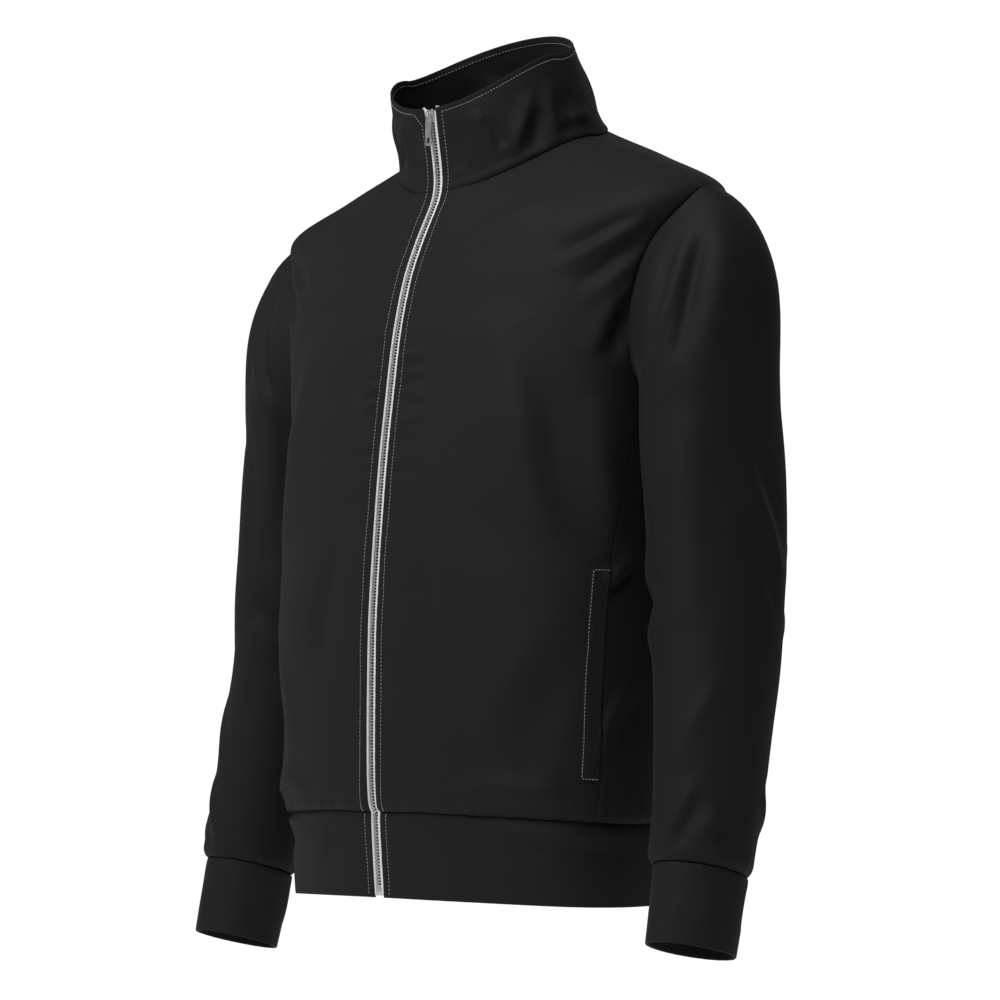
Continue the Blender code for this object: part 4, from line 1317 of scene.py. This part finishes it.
def build_slider():
    """The slider's plate, side flanges and bridge, and the pull tab that hangs from it."""
    joint = frame["joints"][0]
    pivot = np.array(joint["pos_m"])
    point, up, out = zip_frame(SLIDER_Z)
    axes = np.array([[1, 0, 0], up, out])
    outlines, top = [rounded(SLIDER_OUTLINE, 0.0006)], point + 0.0005 * out
    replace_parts(plate("slider_top", outlines, 0.0010, 0.00025, top, axes, "zip_metal", "jacket"), "slider")
    foot_of = (pivot - point) @ out
    lean = (pivot - point) @ up
    parts = [
        block_on(point, axes, across, (-0.0040, 0.0030), (-0.0021, 0.0002), 0.0003)
        for across in ((0.0031, 0.0041), (-0.0041, -0.0031))
    ]
    parts.append(arch(point + lean * up, axes, 0.0010, 0.0012, 0.0022, foot_of, 0.0008))
    merged("slider_sides", parts, "zip_metal")
    down, front = np.array([0, 0, -1.0]), np.array([0, -1.0, 0])
    outlines = [rounded(TAB_OUTLINE, 0.0010), rounded(TAB_WINDOW, 0.0005), rounded(TAB_GRIP, 0.0005)]
    axes = [[1, 0, 0], down, front]
    tab = plate("zip_pull", outlines, 0.0010, 0.0002, pivot, axes, "zip_metal", "pull_tab")
    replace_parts(tab, "pull_tab")


def build_box():
    """The zip's retaining box and pin at the hem."""
    point, up, out = zip_frame((CHAIN_LOW + BOX_LOW) / 2)
    axes = np.array([[1, 0, 0], up, out])
    parts = [
        block_on(point, axes, (-0.0032, 0.0032), (-0.0042, 0.0034), (-0.0023, -0.0003), 0.0004),
        block_on(point, axes, (-0.0026, -0.0006), (-0.0036, 0.0042), (-0.0019, 0.0001), 0.0003),
        block_on(point, axes, (0.0006, 0.0026), (-0.0036, 0.0042), (-0.0019, 0.0001), 0.0003),
    ]
    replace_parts(merged("zip_end_box", parts, "zip_metal"), "zip_box")


POCKET_LEVELS = np.linspace(0.5, 6.5, 90)
POCKET_HEIGHTS = [ring(smooth(RINGS, v), seam(v) - 4)[0, 2] for v in POCKET_LEVELS]
SLEEVE, SLEEVE_OUT, SLEEVE_EDGE = sleeve_grid()
BODY_PLACE = ring_place(RINGS)
BODY_FOLDS = {"left": FRONT_FOLDS + BACK_FOLDS, "right": varied(FRONT_FOLDS + BACK_FOLDS, 5)}
ARM_FOLDS = {"left": SLEEVE_FOLDS, "right": varied(SLEEVE_FOLDS, 6)}
ZIP, ZIP_LIFT = zip_path()
NECK_Z, WAIST_Z = float(ring(smooth(RINGS, 12), 0)[0, 2]), float(ring(smooth(RINGS, 0), 0)[0, 2])

pieces = {"back": build_back(), "collar": build_collar(), "waistband": build_waistband()}
for name in SIDES:
    pieces[f"front_{name}"] = build_front(name)
    pieces[f"sleeve_{name}"] = build_sleeve(name)
    pieces[f"cuff_{name}"] = build_cuff(name)
    pieces[f"pocket_welt_{name}"] = build_welt(name, pieces[f"front_{name}"])
    pieces[f"zip_tape_{name}"] = build_tape(name)
build_stitching(pieces)
build_teeth()
build_slider()
build_box()


# --- Camera, light and floor ------------------------------------------------------------------------------
def look_at(obj, target):
    obj.rotation_euler = (Vector(target) - obj.location).to_track_quat("-Z", "Y").to_euler()


def build_camera():
    data = bpy.data.cameras.new("camera")
    data.lens, data.sensor_width = 120.06, 36.0
    camera = bpy.data.objects.new("camera", data)
    target = np.array([0.0121, 0.0113, -0.30])
    azimuth, elevation, distance = math.radians(43), math.radians(-3.7), 2.9
    way = np.array([
        math.sin(azimuth) * math.cos(elevation), -math.cos(azimuth) * math.cos(elevation), math.sin(elevation)
    ])
    camera.location = target + distance * way
    look_at(camera, target)
    bpy.context.scene.collection.objects.link(camera)
    bpy.context.scene.camera = camera


def softbox(name, place, target, size, power):
    data = bpy.data.lights.new(name, "AREA")
    data.shape, data.size, data.size_y, data.energy = "RECTANGLE", size[0], size[1], power
    light = bpy.data.objects.new(name, data)
    light.location = place
    look_at(light, target)
    bpy.context.scene.collection.objects.link(light)


def build_studio():
    scene = bpy.context.scene
    scene.view_settings.view_transform = "Standard"
    world = bpy.data.worlds.new("studio")
    scene.world = world
    world.use_nodes = True
    tree = world.node_tree
    tree.nodes["Background"].inputs["Strength"].default_value = 0.07
    seen = node(tree, "Background", {"Color": (1, 1, 1, 1), "Strength": 1.05})
    tree.nodes["Background"].inputs["Color"].default_value = (1, 1, 1, 1)
    mixed = node(tree, "MixShader", {0: node(tree, "LightPath").outputs["Is Camera Ray"]})
    tree.links.new(tree.nodes["Background"].outputs[0], mixed.inputs[1])
    tree.links.new(seen.outputs[0], mixed.inputs[2])
    tree.links.new(mixed.outputs[0], tree.nodes["World Output"].inputs["Surface"])
    middle = (0, 0, -0.28)
    softbox("key", (0.40, -2.2, 1.50), middle, (1.7, 1.7), 46)
    softbox("side", (-2.3, -1.0, 0.5), middle, (1.4, 2.0), 6)
    softbox("back", (-0.8, 2.5, 0.8), middle, (2.0, 1.8), 3)
    softbox("top", (0.25, -0.8, 2.1), (0, 0, 0), (1.5, 1.5), 17)
    bpy.ops.mesh.primitive_circle_add(vertices=96, radius=3.4, fill_type="NGON", location=(0, 0, -1.05))
    floor = bpy.context.object
    floor.name = "floor"
    made, tree, shader = start_material("floor_paint", (0.86, 0.86, 0.86), 0.8, specular=0.2)
    place = node(tree, "TexCoord").outputs["Object"]
    tinted(tree, shader, (0.86, 0.86, 0.86), ranged(tree, noise(tree, place, 1.2), 0.99, 1.01))
    shader.inputs["Emission Color"].default_value = (1, 1, 1, 1)
    shader.inputs["Emission Strength"].default_value = 0.25
    floor.data.materials.append(made)


build_camera()
build_studio()
